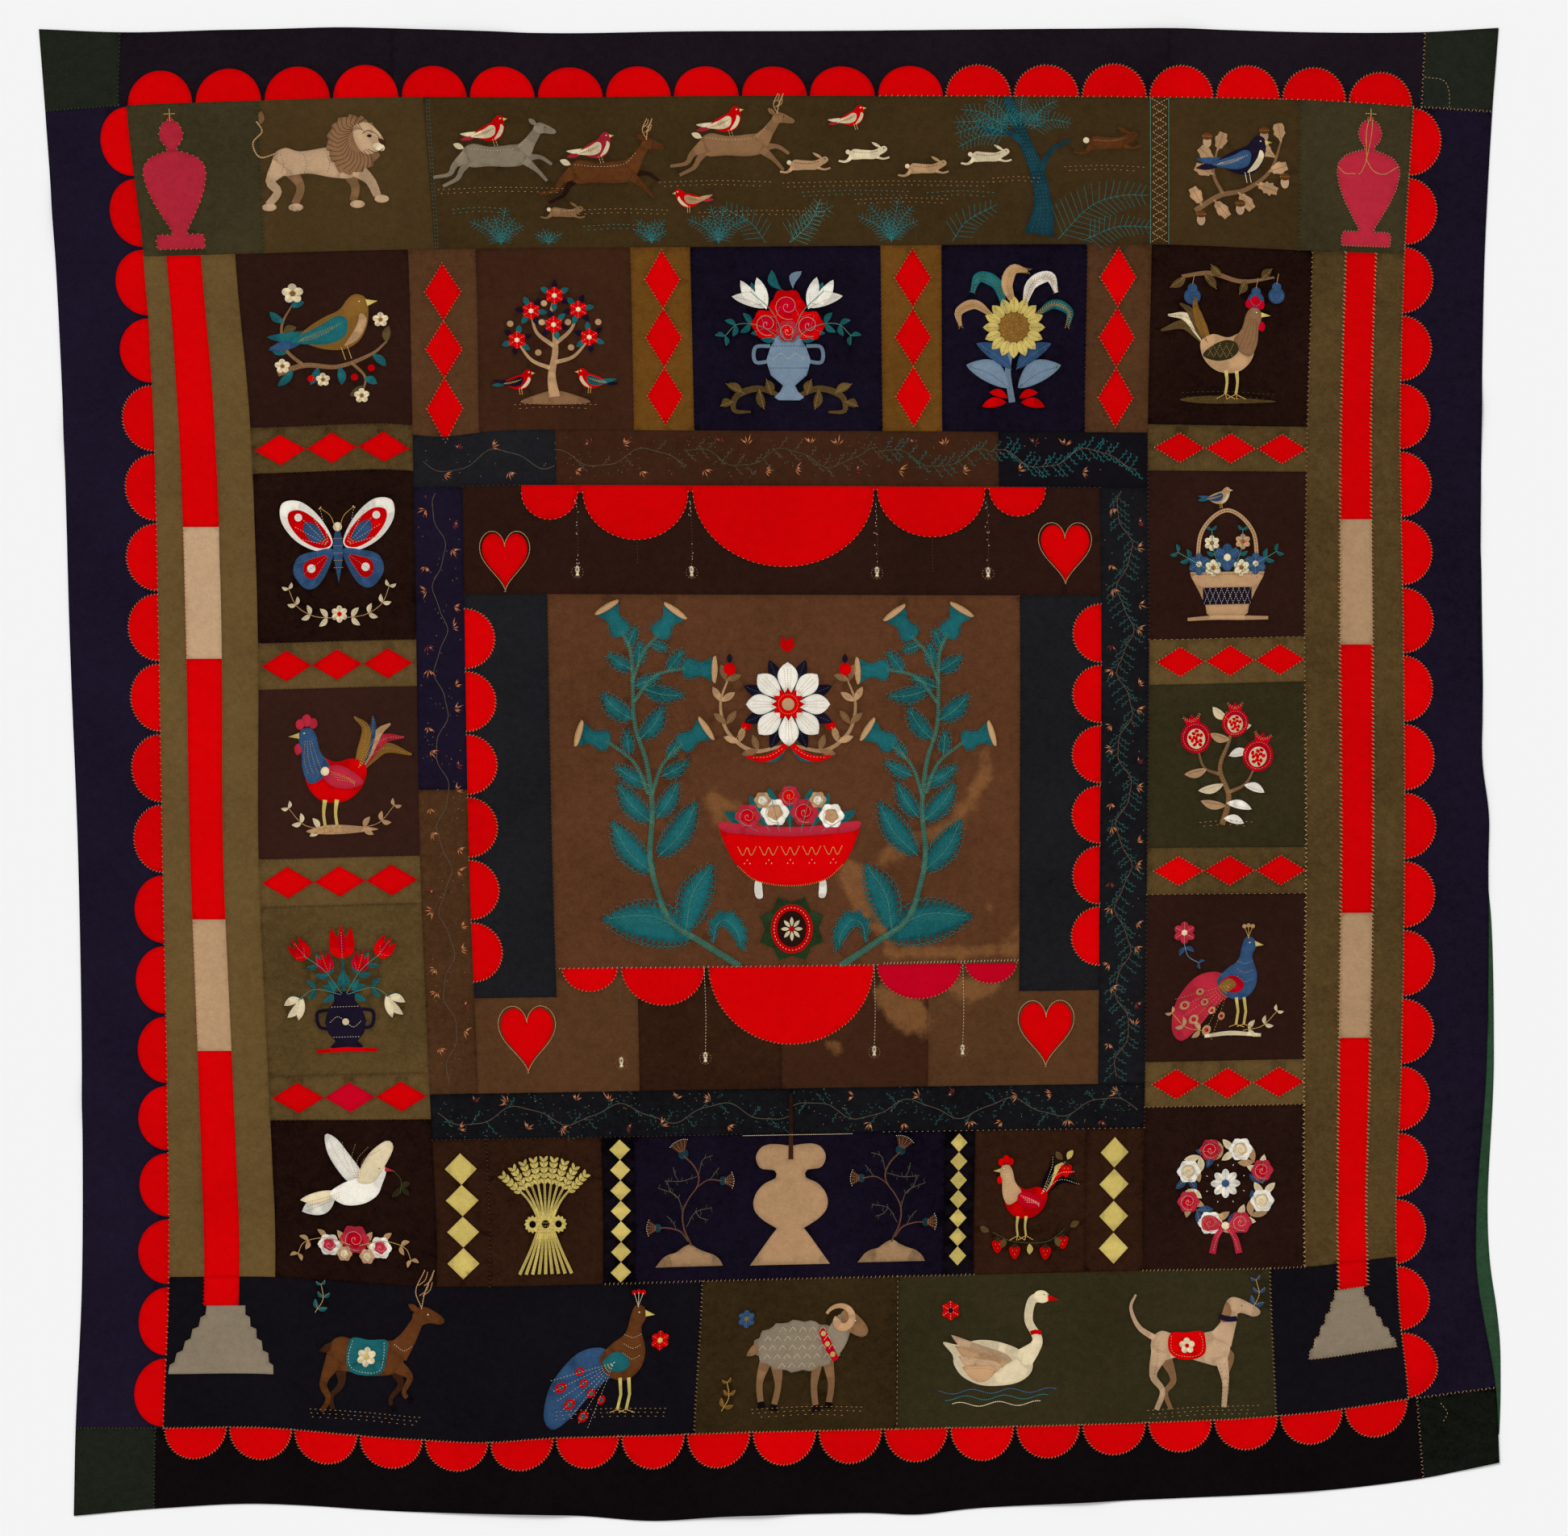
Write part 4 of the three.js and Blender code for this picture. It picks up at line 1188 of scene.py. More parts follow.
def thistle_head(p, x, y, turn, size=1.0):
    q = p.sub(x, y, size, turn - 90)
    q.blob("teal", (0, -4), (12, 0), (14, 9), (10, 18), (11, 27), (17, 40), (0, 41), (-17, 40), (-11, 27),
           (-10, 18), (-14, 9), (-12, 0))
    q.oval("tan", 0, 42, 19.5, 4.4)
    q.stem("gold", curve((-18, 43.5), (0, 46), (18, 43.5)))
    q.run("brown", curve((-17, 38.6), (0, 37.6), (17, 38.6)), 3.2, 2.6)
    for bend in (-9, 0, 9):
        q.run("teal", curve((bend * 0.5, 0), (bend, 12), (bend * 0.7, 22), (bend * 1.2, 35)), 3.4, 3.2)
    for side in (-1, 1):
        hairs(q, "teal", curve((side * 12, -2), (side * 14, 8), (side * 10, 18)), 3.0, 5, 55)


def feathered(x0, y0, x1, y1, wide, bend):
    """A leaf cut into teeth that point to its tip. Gives the outline and the teeth's tips."""
    along = np.array([x1 - x0, y1 - y0], float)
    long = math.hypot(*along)
    side = np.array([-along[1], along[0]]) / long
    teeth = max(5, int(long / 8.5))
    edges = []
    tips = []
    for way in (1, -1):
        edge = []
        for k in range(teeth):
            for step, reach in ((0.0, 0.7), (0.8, 1.1)):
                t = (k + step + 0.4) / (teeth + 0.6)
                half = wide / 2 * math.sin(math.pi * t ** 0.9) ** 0.7 * reach * way
                middle = np.array([x0, y0]) + along * min(t, 1) + side * bend * math.sin(math.pi * t)
                edge.append(middle + side * half)
            tips.append((edge[-1], way))
        edges.append(edge)
    start = np.array([x0, y0], float)
    return np.array([start] + edges[0] + [start + along * 1.03] + edges[1][::-1]), tips


def thistle_leaf(p, x0, y0, x1, y1, wide, bend=0.0):
    shape, tips = feathered(x0, y0, x1, y1, wide, bend)
    p.cut("teal", shape)
    heading = math.atan2(y1 - y0, x1 - x0)
    for tip, way in tips:
        for back, turn, long in ((0.0, 0.28, 4.6), (4.2, 0.5, 4.0)):
            a = heading + way * turn
            spot = tip - back * np.array([math.cos(heading), math.sin(heading)])
            ahead = np.array([math.cos(a), math.sin(a)])
            p.run("teal", [spot - 3.0 * ahead, spot + long * ahead], 8.0, 7.0, 1.1)
    middle = curve((x0, y0), ((x0 + x1) / 2 - bend * (y1 - y0) / 60, (y0 + y1) / 2 + bend * (x1 - x0) / 60),
                   (x1, y1))
    p.stem("mint", middle[:-2], 1.2)
    u, v, way = resample(middle, 5.5)
    for k in range(1, len(u) - 1):
        reach = wide * 0.4 * math.sin(math.pi * k / len(u))
        for side in (-1, 1):
            a = way[k] + side * 0.62
            p.run("mint" if k % 2 else "teal", [(u[k], v[k]), ray(u[k], v[k], reach, a)], 3.2, 2.8, 0.75)


THISTLE_STEMS = table(
    "points widths",
    (((-80, -320), (-142, -280), (-187, -248), (-208, -194), (-217, -143), (-212, -70), (-220, 3),
      (-237, 64), (-240, 166), (-253, 203)), (10.5, 9.5, 8.5, 7, 5.5, 4)),
    (((-240, 126), (-222, 172), (-199, 199)), (5, 3.5)), (((-237, 96), (-205, 136), (-160, 148)), (5, 3.5)),
    (((-218, -48), (-238, 0), (-278, 33)), (5, 3.5)), (((-214, -56), (-196, -4), (-166, 28)), (5, 3.5)))
THISTLE_LEAVES = table(
    "x0 y0 x1 y1 wide bend",
    (-152, -272, -290, -244, 64, -8), (-163, -262, -122, -160, 46, 6), (-214, -172, -274, -92, 38, 5),
    (-204, -146, -144, -62, 36, -5), (-214, -92, -264, -34, 30, 4), (-206, -86, -172, -30, 24, -3),
    (-218, -34, -268, -4, 23, 3), (-196, -20, -154, 3, 19, -2), (-246, 14, -250, 52, 17, 0),
    (-186, 10, -168, 36, 14, 0), (-240, 68, -286, 108, 27, 4), (-228, 38, -192, 88, 26, -4),
    (-222, 116, -160, 106, 23, -4), (-240, 146, -276, 170, 20, 2), (-236, 120, -196, 136, 16, 0),
    (-184, 144, -160, 176, 18, 0), (-230, 152, -226, 190, 18, 0), (-246, 182, -232, 212, 14, 0),
    (-208, 186, -184, 178, 12, 0))
THISTLE_HEADS = table(
    "x y turn",
    (-253, 203, 121), (-198, 200, 54), (-158, 148, -2), (-279, 34, 164), (-165, 29, 33))


def thistle(p):
    for part in THISTLE_LEAVES:
        thistle_leaf(p, part["x0"], part["y0"], part["x1"], part["y1"], part["wide"], part["bend"])
    curl = curve((-121, -282), (-118, -252), (-98, -246), (-80, -268), (-76, -296))
    band = strip(curl, 4, 14, 25, 20, 3)
    wiggle = 0.12 * np.sin(np.arange(len(band)) * 2.1)[:, None]
    band = band + wiggle * (band - curl.mean(0))
    p.cut("teal", band)
    hairs(p, "teal", band[2:len(band) // 2 - 1], 3.4, 6.5, 40, 1.0)
    hairs(p, "teal", band[len(band) // 2 + 2:][::-1], 3.4, 6.5, 40, 1.0)
    p.stem("mint", curve((-121, -282), (-115, -254), (-98, -248), (-82, -268), (-78, -286)), 1.1)
    for branch in THISTLE_STEMS:
        line = curve(*branch["points"])
        p.cut("verdigris", strip(line, *branch["widths"]))
        hairs(p, "mint", line, 4.0, 5.5, 50, 0.8)
        p.stem("mint", line, 1.0)
    for head in THISTLE_HEADS:
        thistle_head(p, head["x"], head["y"], head["turn"], 1.1)


def rosette(p):
    """A white flower with a red heart over two gold sprays and a sewn teal bow, where a small device sits."""
    for _, q in p.sides():
        spray = curve((10, -60), (52, -66), (86, -40), (96, 0), (84, 38))
        q.cut("tan", strip(spray, 4, 6, 5, 4, 2))
        for k, (x, y, a) in enumerate(((44, -66, 30), (70, -54, 62), (88, -28, 84), (95, 4, 104),
                                       (88, 34, 118))):
            way = math.radians(a)
            for turn in (-0.75, 0.75):
                q.leaf("tan" if k % 2 else "fawn", x, y, *ray(x, y, 24, way + turn), 10, 0)
            q.run("gold", [(x, y), ray(x, y, 17, way + 0.75)], 3.4, 3, 0.8)
        q.oval("scarlet", 82, 50, 9)
        q.leaf("navy", 82, 58, 82, 72, 8)
        q.oval("scarlet", 60, -30, 7)
        q.stem("gold", curve((74, -48), (68, -40), (62, -34)), 1.2)
        q.leaf("teal", 4, -62, 40, -80, 14, -4)
        q.band("scarlet", [(4, -58), (20, -72), (40, -78), (60, -74)], 8, 10, 9, 4)
        q.run("cream", curve((10, -64), (28, -74), (50, -76)), 5, 3.2)
    for a in spokes(8, 22.5):
        p.leaf("navy", *ray(0, 0, 24, a), *ray(0, 0, 68, a), 18)
        p.run("teal", [ray(0, 0, 40, a), ray(0, 0, 62, a)])
    for a in spokes(8):
        p.leaf("white", *ray(0, 0, 8, a), *ray(0, 0, 60, a), 29, 0, 0.62)
        for bend in (-0.13, 0.0, 0.13):
            p.run("tan", [ray(0, 0, 24, a + bend), ray(0, 0, 50, a + bend * 0.8)], 3.6, 3, 0.8)
    p.cut("scarlet", star(0, 0, 24, 17, 12))
    p.oval("tan", 0, 0, 9)
    p.run("gold", oval(0, 0, 14), 3.6, 2.8, 1.0)
    p.blob("scarlet", (0, 74), (10, 84), (6, 96), (0, 90), (-6, 96), (-10, 84))


def flower_bowl(p):
    """A wide red bowl of flowers on white feet."""
    for side in (-1, 1):
        p.blob("white", (side * 44, -58), (side * 52, -56), (side * 54, -74), (side * 50, -84),
               (side * 42, -83), (side * 42, -72))
    for x, y, a in ((-80, 34, 145), (-50, 52, 118), (50, 54, 62), (82, 34, 35), (0, 66, 90), (-26, 62, 104),
                    (28, 60, 76)):
        way = math.radians(a)
        p.leaf("teal", x * 0.6, 16, *ray(x, y, 20, way), 16, 0, 0.6)
        p.stem("mint", [(x * 0.6, 16), (x, y)], 1.0)
    p.blob("scarlet", (-102, 26), (-60, 20), (0, 18), (60, 20), (102, 26), (96, -4), (78, -36), (50, -58),
           (0, -66), (-50, -58), (-78, -36), (-96, -4))
    p.blob("raspberry", (-104, 30), (-60, 25), (0, 22), (60, 25), (104, 30), (98, 16), (60, 11), (0, 8),
           (-60, 11), (-98, 16))
    for x, y, r, dye, inner in ((-62, 38, 18, "raspberry", "crimson"), (-22, 44, 20, "white", "tan"),
                                (22, 44, 20, "raspberry", "crimson"), (62, 38, 18, "white", "tan"),
                                (0, 68, 15, "raspberry", "scarlet"), (-40, 62, 12, "tan", "white"),
                                (42, 62, 12, "tan", "white")):
        rose(p, x, y, r, dye, inner, "gold" if dye != "white" else "tan")
    for k in range(5):
        x = -64 + 32 * k
        p.stem("gold", curve((x - 13, -8), (x - 6, -20), (x, -8), (x + 6, -20), (x + 13, -8)), 1.4)
        p.seed("cream", [(x, -27), (x - 4, -32), (x + 4, -32)], 3.2, 1.2, 1.6)
    overcast("motif", "gold", p.on_plan(curve((-78, -36), (-50, -58), (0, -66), (50, -58), (78, -36))), 3.6,
             5.0, 80)


def badge(p):
    p.cut("forest", star(0, 0, 56, 44, 8, 22.5))
    p.oval("scarlet", 0, 0, 34, 40)
    p.oval("chocolate", 0, 0, 24, 30)
    p.run("cream", oval(0, 0, 29, 35), 5.4, 3.4, 1.4)
    for a in spokes(8):
        p.leaf("cream", *ray(0, 0, 4, a), 18 * math.cos(a), 20 * math.sin(a), 6)
    p.oval("scarlet", 0, 0, 4)


def cherry_branch(p):
    """An ochre and teal songbird on a flowering branch."""
    p.band("fawn", [(-82, -52), (-40, -40), (10, -44), (60, -26), (84, -6)], 9, 8, 7, 6, 3)
    p.run("tan", curve((-76, -52), (-36, -41), (12, -44), (58, -27)), 5, 3.4, 1.0)
    p.band("fawn", [(30, -38), (50, -62), (46, -86)], 5, 4, 2)
    p.band("fawn", [(-40, -42), (-66, -14), (-70, 24), (-52, 58)], 6, 5, 4, 2)
    for x0, y0, x1, y1, dye in ((-20, -44, -34, -72, "teal"), (12, -44, 14, -74, "teal"),
                                (62, -26, 82, -46, "teal"), (-58, -46, -84, -72, "teal"),
                                (-66, -20, -90, -8, "teal"), (-68, 14, -48, 22, "olive"),
                                (-66, 30, -86, 48, "teal"), (46, -76, 26, -92, "olive"),
                                (48, -64, 68, -74, "teal"), (-54, 54, -34, 62, "teal"),
                                (84, -8, 88, 20, "olive")):
        p.leaf(dye, x0, y0, x1, y1, 13, 2)
        p.run("mint", [(x0, y0), (x0 * 0.3 + x1 * 0.7, y0 * 0.3 + y1 * 0.7)], 3.4, 3, 0.8)
    for x, y, r in ((-50, 76, 16), (-74, -40, 12), (44, -92, 12), (76, 30, 12), (-14, -64, 11)):
        bloom(p, x, y, r, 5, "cream", "ochre", "tan")
    songbird(p.sub(6, 10, 1.16, 8), "ochre", "teal", "blue", "tan")
    for x, y in ((60, -48), (34, -62), (-32, -62)):
        p.oval("scarlet", x, y, 5.5)


def flowering_tree(p):
    """A pale tree with teal leaves, red flowers and two small birds."""
    p.blob("fawn", (-52, -92), (-20, -78), (0, -74), (22, -78), (54, -92), (0, -96))
    p.band("tan", [(0, -84), (-4, -50), (2, -10), (0, 36)], 17, 11, 9, 5)
    for x0, y0, xm, ym, x1, y1 in ((-2, -40, -34, -26, -56, 4), (0, -30, 30, -20, 54, 8),
                                   (0, -4, -26, 18, -34, 50), (2, 0, 26, 22, 38, 52),
                                   (0, 24, -4, 48, 2, 72)):
        p.band("tan", [(x0, y0), (xm, ym), (x1, y1)], 7, 5, 3)
    for k, (x, y) in enumerate(((-56, 6), (54, 10), (-34, 52), (38, 54), (2, 76), (0, 30))):
        for a in range(20, 380, 60):
            way = math.radians(a + 17 * k)
            p.leaf("navy" if a % 120 == 20 else "teal", *ray(x, y, 8, way), *ray(x, y, 25, way), 9)
        bloom(p, x, y, 14, 6, "scarlet", "cream", "pink")
    for x, y in ((-24, -14), (26, -6), (-14, 64), (22, 34), (-18, 34), (68, 34), (-66, 32)):
        p.oval("tan", x, y, 5)
    songbird(p.sub(-56, -62, 0.44), "scarlet", "navy", "teal", "cream")
    songbird(p.sub(58, -60, 0.44, flip=True), "scarlet", "teal", "navy", "cream")
    grass(p, "tan", -60, 62, -96, 2)


def rose_urn(p):
    """A steel-blue urn of roses and lilies above a scroll of leaves."""
    for _, q in p.sides():
        q.band("olive", [(8, -72), (40, -60), (70, -70), (74, -90), (52, -92)], 5, 8, 9, 7, 3)
        for x0, y0, x1, y1 in ((40, -62, 34, -88), (62, -66, 84, -54), (24, -68, 30, -48),
                               (76, -78, 92, -84)):
            q.leaf("olive", x0, y0, x1, y1, 12, 2)
            q.run("gold", [(x0, y0), (x1, y1)], 3.6, 3, 0.8)
        q.band("sky", [(22, -22), (44, -24), (44, -4), (24, -2)], 5, 5, 5)
        leafy(q, curve((6, 4), (34, 24), (66, 28), (84, 12)), "teal", "mint", 5, 24, 11)
        leafy(q, curve((4, 6), (20, 44), (48, 72)), "teal", "mint", 4, 22, 11)
        q.leaf("white", 30, 50, 74, 66, 17, 4)
        q.leaf("white", 30, 50, 62, 88, 17, -4)
        q.leaf("white", 28, 48, 40, 92, 16, 0)
        q.run("tan", curve((32, 52), (50, 60), (68, 65)), 3.6)
    vessel(p, "sky", [(14, -76), (20, -72), (12, -64), (8, -56), (24, -42), (30, -22), (24, -4), (18, 6),
                      (26, 12)], (-2, -32), "navy")
    p.run("cream", curve((-20, -20), (-10, -12), (0, -20), (10, -12), (20, -20)), 3.6, 3, 1.2)
    rose(p, -28, 28, 20, "scarlet", "crimson", "pink")
    rose(p, 28, 26, 20, "scarlet", "crimson", "pink")
    rose(p, 0, 52, 23, "scarlet", "crimson", "pink")
    rose(p, 0, 18, 15, "raspberry", "scarlet", "pink")
    p.leaf("teal", -6, 74, -20, 102, 13, 6, 0.6)
    p.leaf("sky", 8, 76, 20, 100, 12, 6, 0.6)


def sunflower(p):
    """A tall yellow sunflower with a fan of plumes above."""
    p.band("sky", [(-2, -86), (-8, -40), (0, 0)], 9, 8, 7)
    for side, q in p.sides():
        q.leaf("sky", 6, -66, 66, -34, 31, 8)
        q.run("navy", curve((6, -66), (34, -46), (60, -37)), 4, 3.2)
        q.leaf("blue", 4, -40, 52, -4, 22, 6)
        q.run("sky", curve((4, -40), (26, -20), (48, -6)), 4, 3.2)
        q.leaf("scarlet", 10, -86, 44, -92, 14, 3)
        q.leaf("scarlet", 8, -80, 34, -72, 11, 3)
        plume(q, curve((14, 48), (24, 78), (48, 88), (58, 66)), "white" if side > 0 else "teal",
              "tan" if side > 0 else "mint", 17)
        plume(q, curve((30, 34), (54, 50), (76, 40), (74, 20)), "tan" if side < 0 else "teal", "gold", 14)
    plume(p, curve((0, 50), (-10, 76), (-2, 98), (18, 96)), "tan", "gold", 17)
    for a in spokes(16):
        p.leaf("yellow", *ray(0, 18, 18, a), *ray(0, 18, 43, a), 14, 0, 0.5)
        p.run("brown", [ray(0, 18, 24, a), ray(0, 18, 37, a)], 4, 3, 0.8)
    p.oval("ochre", 0, 18, 21)
    for k in range(34):
        a = 2.39996 * k
        r = 3.1 * math.sqrt(k)
        p.seed("gold" if k % 2 else "brown", [ray(0, 18, r, a)], 2.8, a, 1.4)


def pear_and_fowl(p):
    """A tan fowl with a chequered wing under a pear bough."""
    p.band("fawn", [(-72, 82), (-30, 88), (14, 78), (62, 86)], 5, 7, 6, 3)
    for x, y in ((-56, 60), (36, 58), (66, 66)):
        p.oval("blue", x, y - 6, 12)
        p.oval("blue", x, y + 6, 7)
        p.run("sky", oval(x, y - 6, 8), 3.8, 2.8)
        p.stem("tan", [(x, y + 12), (x + 2, y + 24)])
    for x0, y0, x1, y1 in ((-66, 82, -88, 66), (-40, 86, -22, 66), (-14, 84, -30, 100), (20, 80, 12, 60),
                           (44, 82, 58, 98)):
        p.leaf("olive", x0, y0, x1, y1, 12, 2)
        p.run("gold", [(x0, y0), (x1, y1)], 3.6, 3, 0.8)
    q = p.sub(-6, -22, 0.95)
    cockerel(q, "tan", "fawn", ["olive", "cream", "olive", "ochre"], "sage", "crimson", "brown")
    for k in range(4):
        q.run("gold", [(-26 + 10 * k, -8), (-18 + 10 * k, 10)], 3.2, 2.6)
        q.run("gold", [(-18 + 10 * k, -10), (-28 + 10 * k, 6)], 3.2, 2.6)
    p.blob("olive", (-70, -94), (-30, -88), (20, -90), (70, -94), (20, -98), (-40, -99))
    grass(p, "green", -66, 66, -84, 2)


def butterfly(p):
    """A red, white and steel-blue butterfly over two cream sprays."""
    for side, q in p.sides(0, 8):
        q.blob("white", (8, 14), (26, 52), (56, 78), (84, 76), (86, 48), (64, 18), (30, 2))
        q.blob("scarlet", (10, 14), (28, 44), (54, 64), (74, 62), (74, 44), (56, 20), (28, 6))
        q.blob("blue", (20, 20), (34, 42), (50, 46), (52, 32), (38, 16))
        q.oval("white", 60, 54, 6)
        q.blob("blue", (8, 4), (36, 2), (62, -6), (70, -30), (52, -54), (32, -50), (14, -22))
        q.blob("scarlet", (16, -6), (36, -8), (52, -16), (54, -30), (44, -40), (30, -32))
        q.oval("white", 42, -24, 6.5)
        for k in range(5):
            a = math.radians(78 - 16 * k)
            q.run("cream", [ray(14, 10, 6, a), ray(14, 10, 58, a)], 4.4, 3.2)
        for k in range(3):
            a = math.radians(-14 - 22 * k)
            q.run("sky", [ray(12, -2, 8, a), ray(12, -2, 54, a)], 4.4, 3.2)
        q.stem("gold", curve((3, 34), (10, 54), (24, 66)))
        q.seed("gold", [(25, 68), (27, 66)], 4, 0.5, 3)
        r = p.sub(0, 0, flip=side < 0)
        leafy(r, curve((8, -92), (40, -88), (66, -72), (78, -46)), "cream", "tan", 4, 19, 9)
    p.leaf("blue", 0, -40, 0, 48, 15, 0, 0.6)
    for k in range(5):
        p.run("gold", [(-6, -16 + 11 * k), (6, -16 + 11 * k)], 3.4, 3, 1.2)
    p.oval("cream", 0, 46, 7)
    bloom(p, 0, -86, 13, 6, "cream", "scarlet", "tan")


def crowing_cock(p):
    """A cockerel in red, blue and ochre, with a spray at each side of the ground."""
    q = p.sub(-4, -16, 1.1, flip=True)
    cockerel(q, "scarlet", "blue", ["ochre", "raspberry", "tan", "blue", "ochre"], "raspberry", "raspberry",
             "gold")
    q.oval("cream", 18, 8, 6)
    for side, r in p.sides():
        leafy(r, curve((26, -92), (56, -84), (78, -60)), "cream" if side < 0 else "tan", "tan", 3, 19, 9)
    p.blob("tan", (-52, -94), (-20, -86), (20, -88), (54, -94), (10, -99), (-30, -99))


def tulip_jar(p):
    """A navy jar of red tulips and cream lilies."""
    for _, q in p.sides():
        leafy(q, curve((4, -10), (26, 22), (54, 44)), "teal", "mint", 4, 24, 10)
        leafy(q, curve((6, -12), (42, -4), (66, -18)), "teal", "mint", 3, 24, 10)
        tulip(q, 52, 42, 17, 52, "scarlet", "crimson")
        q.leaf("cream", 62, -18, 88, -26, 12, 3)
        q.leaf("cream", 62, -18, 84, -44, 12, -3)
        q.leaf("cream", 60, -16, 68, -48, 12, 0)
        q.band("navy", [(22, -34), (40, -38), (38, -58), (22, -62)], 5, 5, 5)
    p.cut("teal", strip([(0, -8), (0, 20), (0, 44)], 4, 4))
    tulip(p, 0, 42, 23, 90, "scarlet", "crimson")
    tulip(p, -22, 22, 15, 108, "crimson", "scarlet")
    tulip(p, 22, 22, 15, 72, "crimson", "scarlet")
    vessel(p, "navy", [(20, -92), (24, -88), (16, -80), (26, -68), (30, -52), (25, -34), (15, -22),
                       (15, -14), (22, -8)], (-30, -74), "cream")
    p.run("cream", curve((-22, -52), (-11, -44), (0, -52), (11, -60), (22, -52)), 3.6, 3, 1.1)
    p.oval("cream", 0, -52, 5)
    p.cut("scarlet", strip([(-44, -94), (0, -92), (44, -94)], 5, 7, 5))


def dove_roses(p):
    """A white dove with spread wings over raspberry roses."""
    q = p.sub(0, 14, 1.1)
    q.leaf("white", -24, -8, -70, -34, 27, 3)
    q.leaf("cream", -22, -4, -72, -18, 17, 3)
    q.blob("white", (-6, 10), (-30, 44), (-34, 74), (-20, 70), (-6, 52), (12, 22))
    q.blob("white", (46, 24), (42, 34), (31, 36), (22, 28), (6, 16), (-16, 6), (-32, -8), (-14, -22),
           (12, -20), (32, -8), (40, 8))
    q.blob("cream", (6, 12), (22, 46), (48, 66), (58, 58), (46, 34), (28, 10))
    for k in range(5):
        q.run("tan", curve((2 + 2 * k, 16), (-16 + 8 * k, 40), (-28 + 17 * k, 66 - 3 * k)), 4, 3.2)
    for k in range(3):
        q.run("tan", curve((-20, -6 - 3 * k), (-40, -14 - 4 * k), (-62, -20 - 6 * k)), 4, 3.2)
    q.cut("raspberry", [(45, 31), (59, 25), (44, 25)])
    eye(q, 37, 29)
    q.stem("green", curve((56, 26), (66, 14), (64, -4)))
    for x1, y1 in ((78, 10), (76, -8), (52, -10)):
        q.leaf("sage", 65, 4, x1, y1, 8, 1)
    for _, r in p.sides():
        leafy(r, curve((8, -70), (42, -62), (74, -70), (84, -88)), "tan", "gold", 4, 21, 10)
    for x, y, size, outer, inner in ((0, -62, 21, "raspberry", "crimson"),
                                     (-38, -72, 16, "white", "raspberry"),
                                     (38, -72, 16, "white", "raspberry"),
                                     (-16, -84, 11, "tan", "cream"), (18, -86, 11, "tan", "cream")):
        rose(p, x, y, size, outer, inner, "pink")


def flower_basket(p):
    """A tan basket of blue and cream flowers with a latticed foot."""
    p.band("tan", [(-46, -30), (-40, 40), (0, 74), (40, 40), (46, -30)], 6, 6, 6, 6)
    p.run("brown", curve((-46, -28), (-40, 40), (0, 74), (40, 40), (46, -28)), 5, 3.6, 1.2)
    for _, q in p.sides():
        leafy(q, curve((20, -22), (52, -4), (76, 10)), "teal", "mint", 4, 22, 10)
        leafy(q, curve((10, -20), (22, 16), (24, 44)), "teal", "mint", 4, 17, 8)
    vessel(p, "tan", [(26, -88), (32, -84), (34, -72), (44, -50), (56, -28), (58, -20)], (-24,), "brown")
    p.cut("navy", box(-38, -70, 38, -44))
    for k in range(8):
        x = -36 + 9 * k
        p.run("cream", [(x, -68), (x + 9, -46)], 3.4)
        p.run("cream", [(x + 9, -68), (x, -46)], 3.4)
    for x, y, r, dye, inner in ((-44, -8, 17, "blue", "cream"), (44, -8, 17, "blue", "cream"),
                                (0, 2, 21, "blue", "cream"), (-22, -14, 13, "cream", "ochre"),
                                (22, -14, 13, "cream", "ochre"), (-24, 24, 12, "cream", "ochre"),
                                (24, 26, 12, "tan", "scarlet")):
        bloom(p, x, y, r, 6, dye, inner, "sky" if dye == "blue" else "tan")
    p.band("tan", [(-62, -92), (-20, -90), (20, -91), (64, -92)], 5, 7, 7, 5)
    songbird(p.sub(-14, 92, 0.36), "tan", "blue", "teal", "cream")


def pomegranates(p):
    """Three cut pomegranates on a bough, with pale leaves."""
    p.band("fawn", [(-6, -94), (4, -50), (-10, -4), (6, 44), (0, 84)], 9, 8, 7, 5, 3)
    p.run("gold", curve((-6, -90), (4, -50), (-10, -4), (6, 44)), 5, 3.4, 1.0)
    p.band("fawn", [(2, -44), (30, -30), (44, -6)], 6, 4, 3)
    p.band("fawn", [(-6, -16), (-34, -4), (-44, 22)], 6, 4, 3)
    for k, (x0, y0, x1, y1) in enumerate(((0, -60, 40, -70), (0, -64, -40, -56), (-4, -30, -44, -40),
                                          (4, 14, 36, 20), (6, 40, -26, 50), (8, 48, 40, 62),
                                          (28, -32, 60, -44), (-30, -6, -66, -14), (2, 72, -22, 92),
                                          (-4, -84, 28, -92))):
        dye = ("white", "tan", "cream")[k % 3]
        p.leaf(dye, x0, y0, x1, y1, 14, 3)
        p.run("gold" if dye != "tan" else "brown", [(x0, y0), (x0 * 0.2 + x1 * 0.8, y0 * 0.2 + y1 * 0.8)],
              3.6)
    for x, y, r, turn in ((50, 14, 24, -14), (-48, 44, 24, 12), (14, 66, 21, 0)):
        q = p.sub(x, y, r / 24, turn)
        q.oval("crimson", 0, 0, 24, 25)
        q.cut("crimson", [(-10, 20), (-14, 36), (-5, 30), (0, 38), (5, 30), (14, 36), (10, 20)])
        q.oval("cream", 0, -2, 14, 16)
        for k in range(12):
            a = 2.4 * k
            q.oval("scarlet", 3.3 * math.sqrt(k) * math.cos(a), -2 + 3.7 * math.sqrt(k) * math.sin(a), 2.7,
                   3.6, 40 * k)
        q.run("gold", oval(0, 0, 20, 21), 4, 3, 1.0)
        for side in (-1, 1):
            hairs(q, "gold", curve((0, 26), (side * 8, 30), (side * 12, 34)), 4, 4, 40)
    grass(p, "tan", -40, 40, -90, 2)


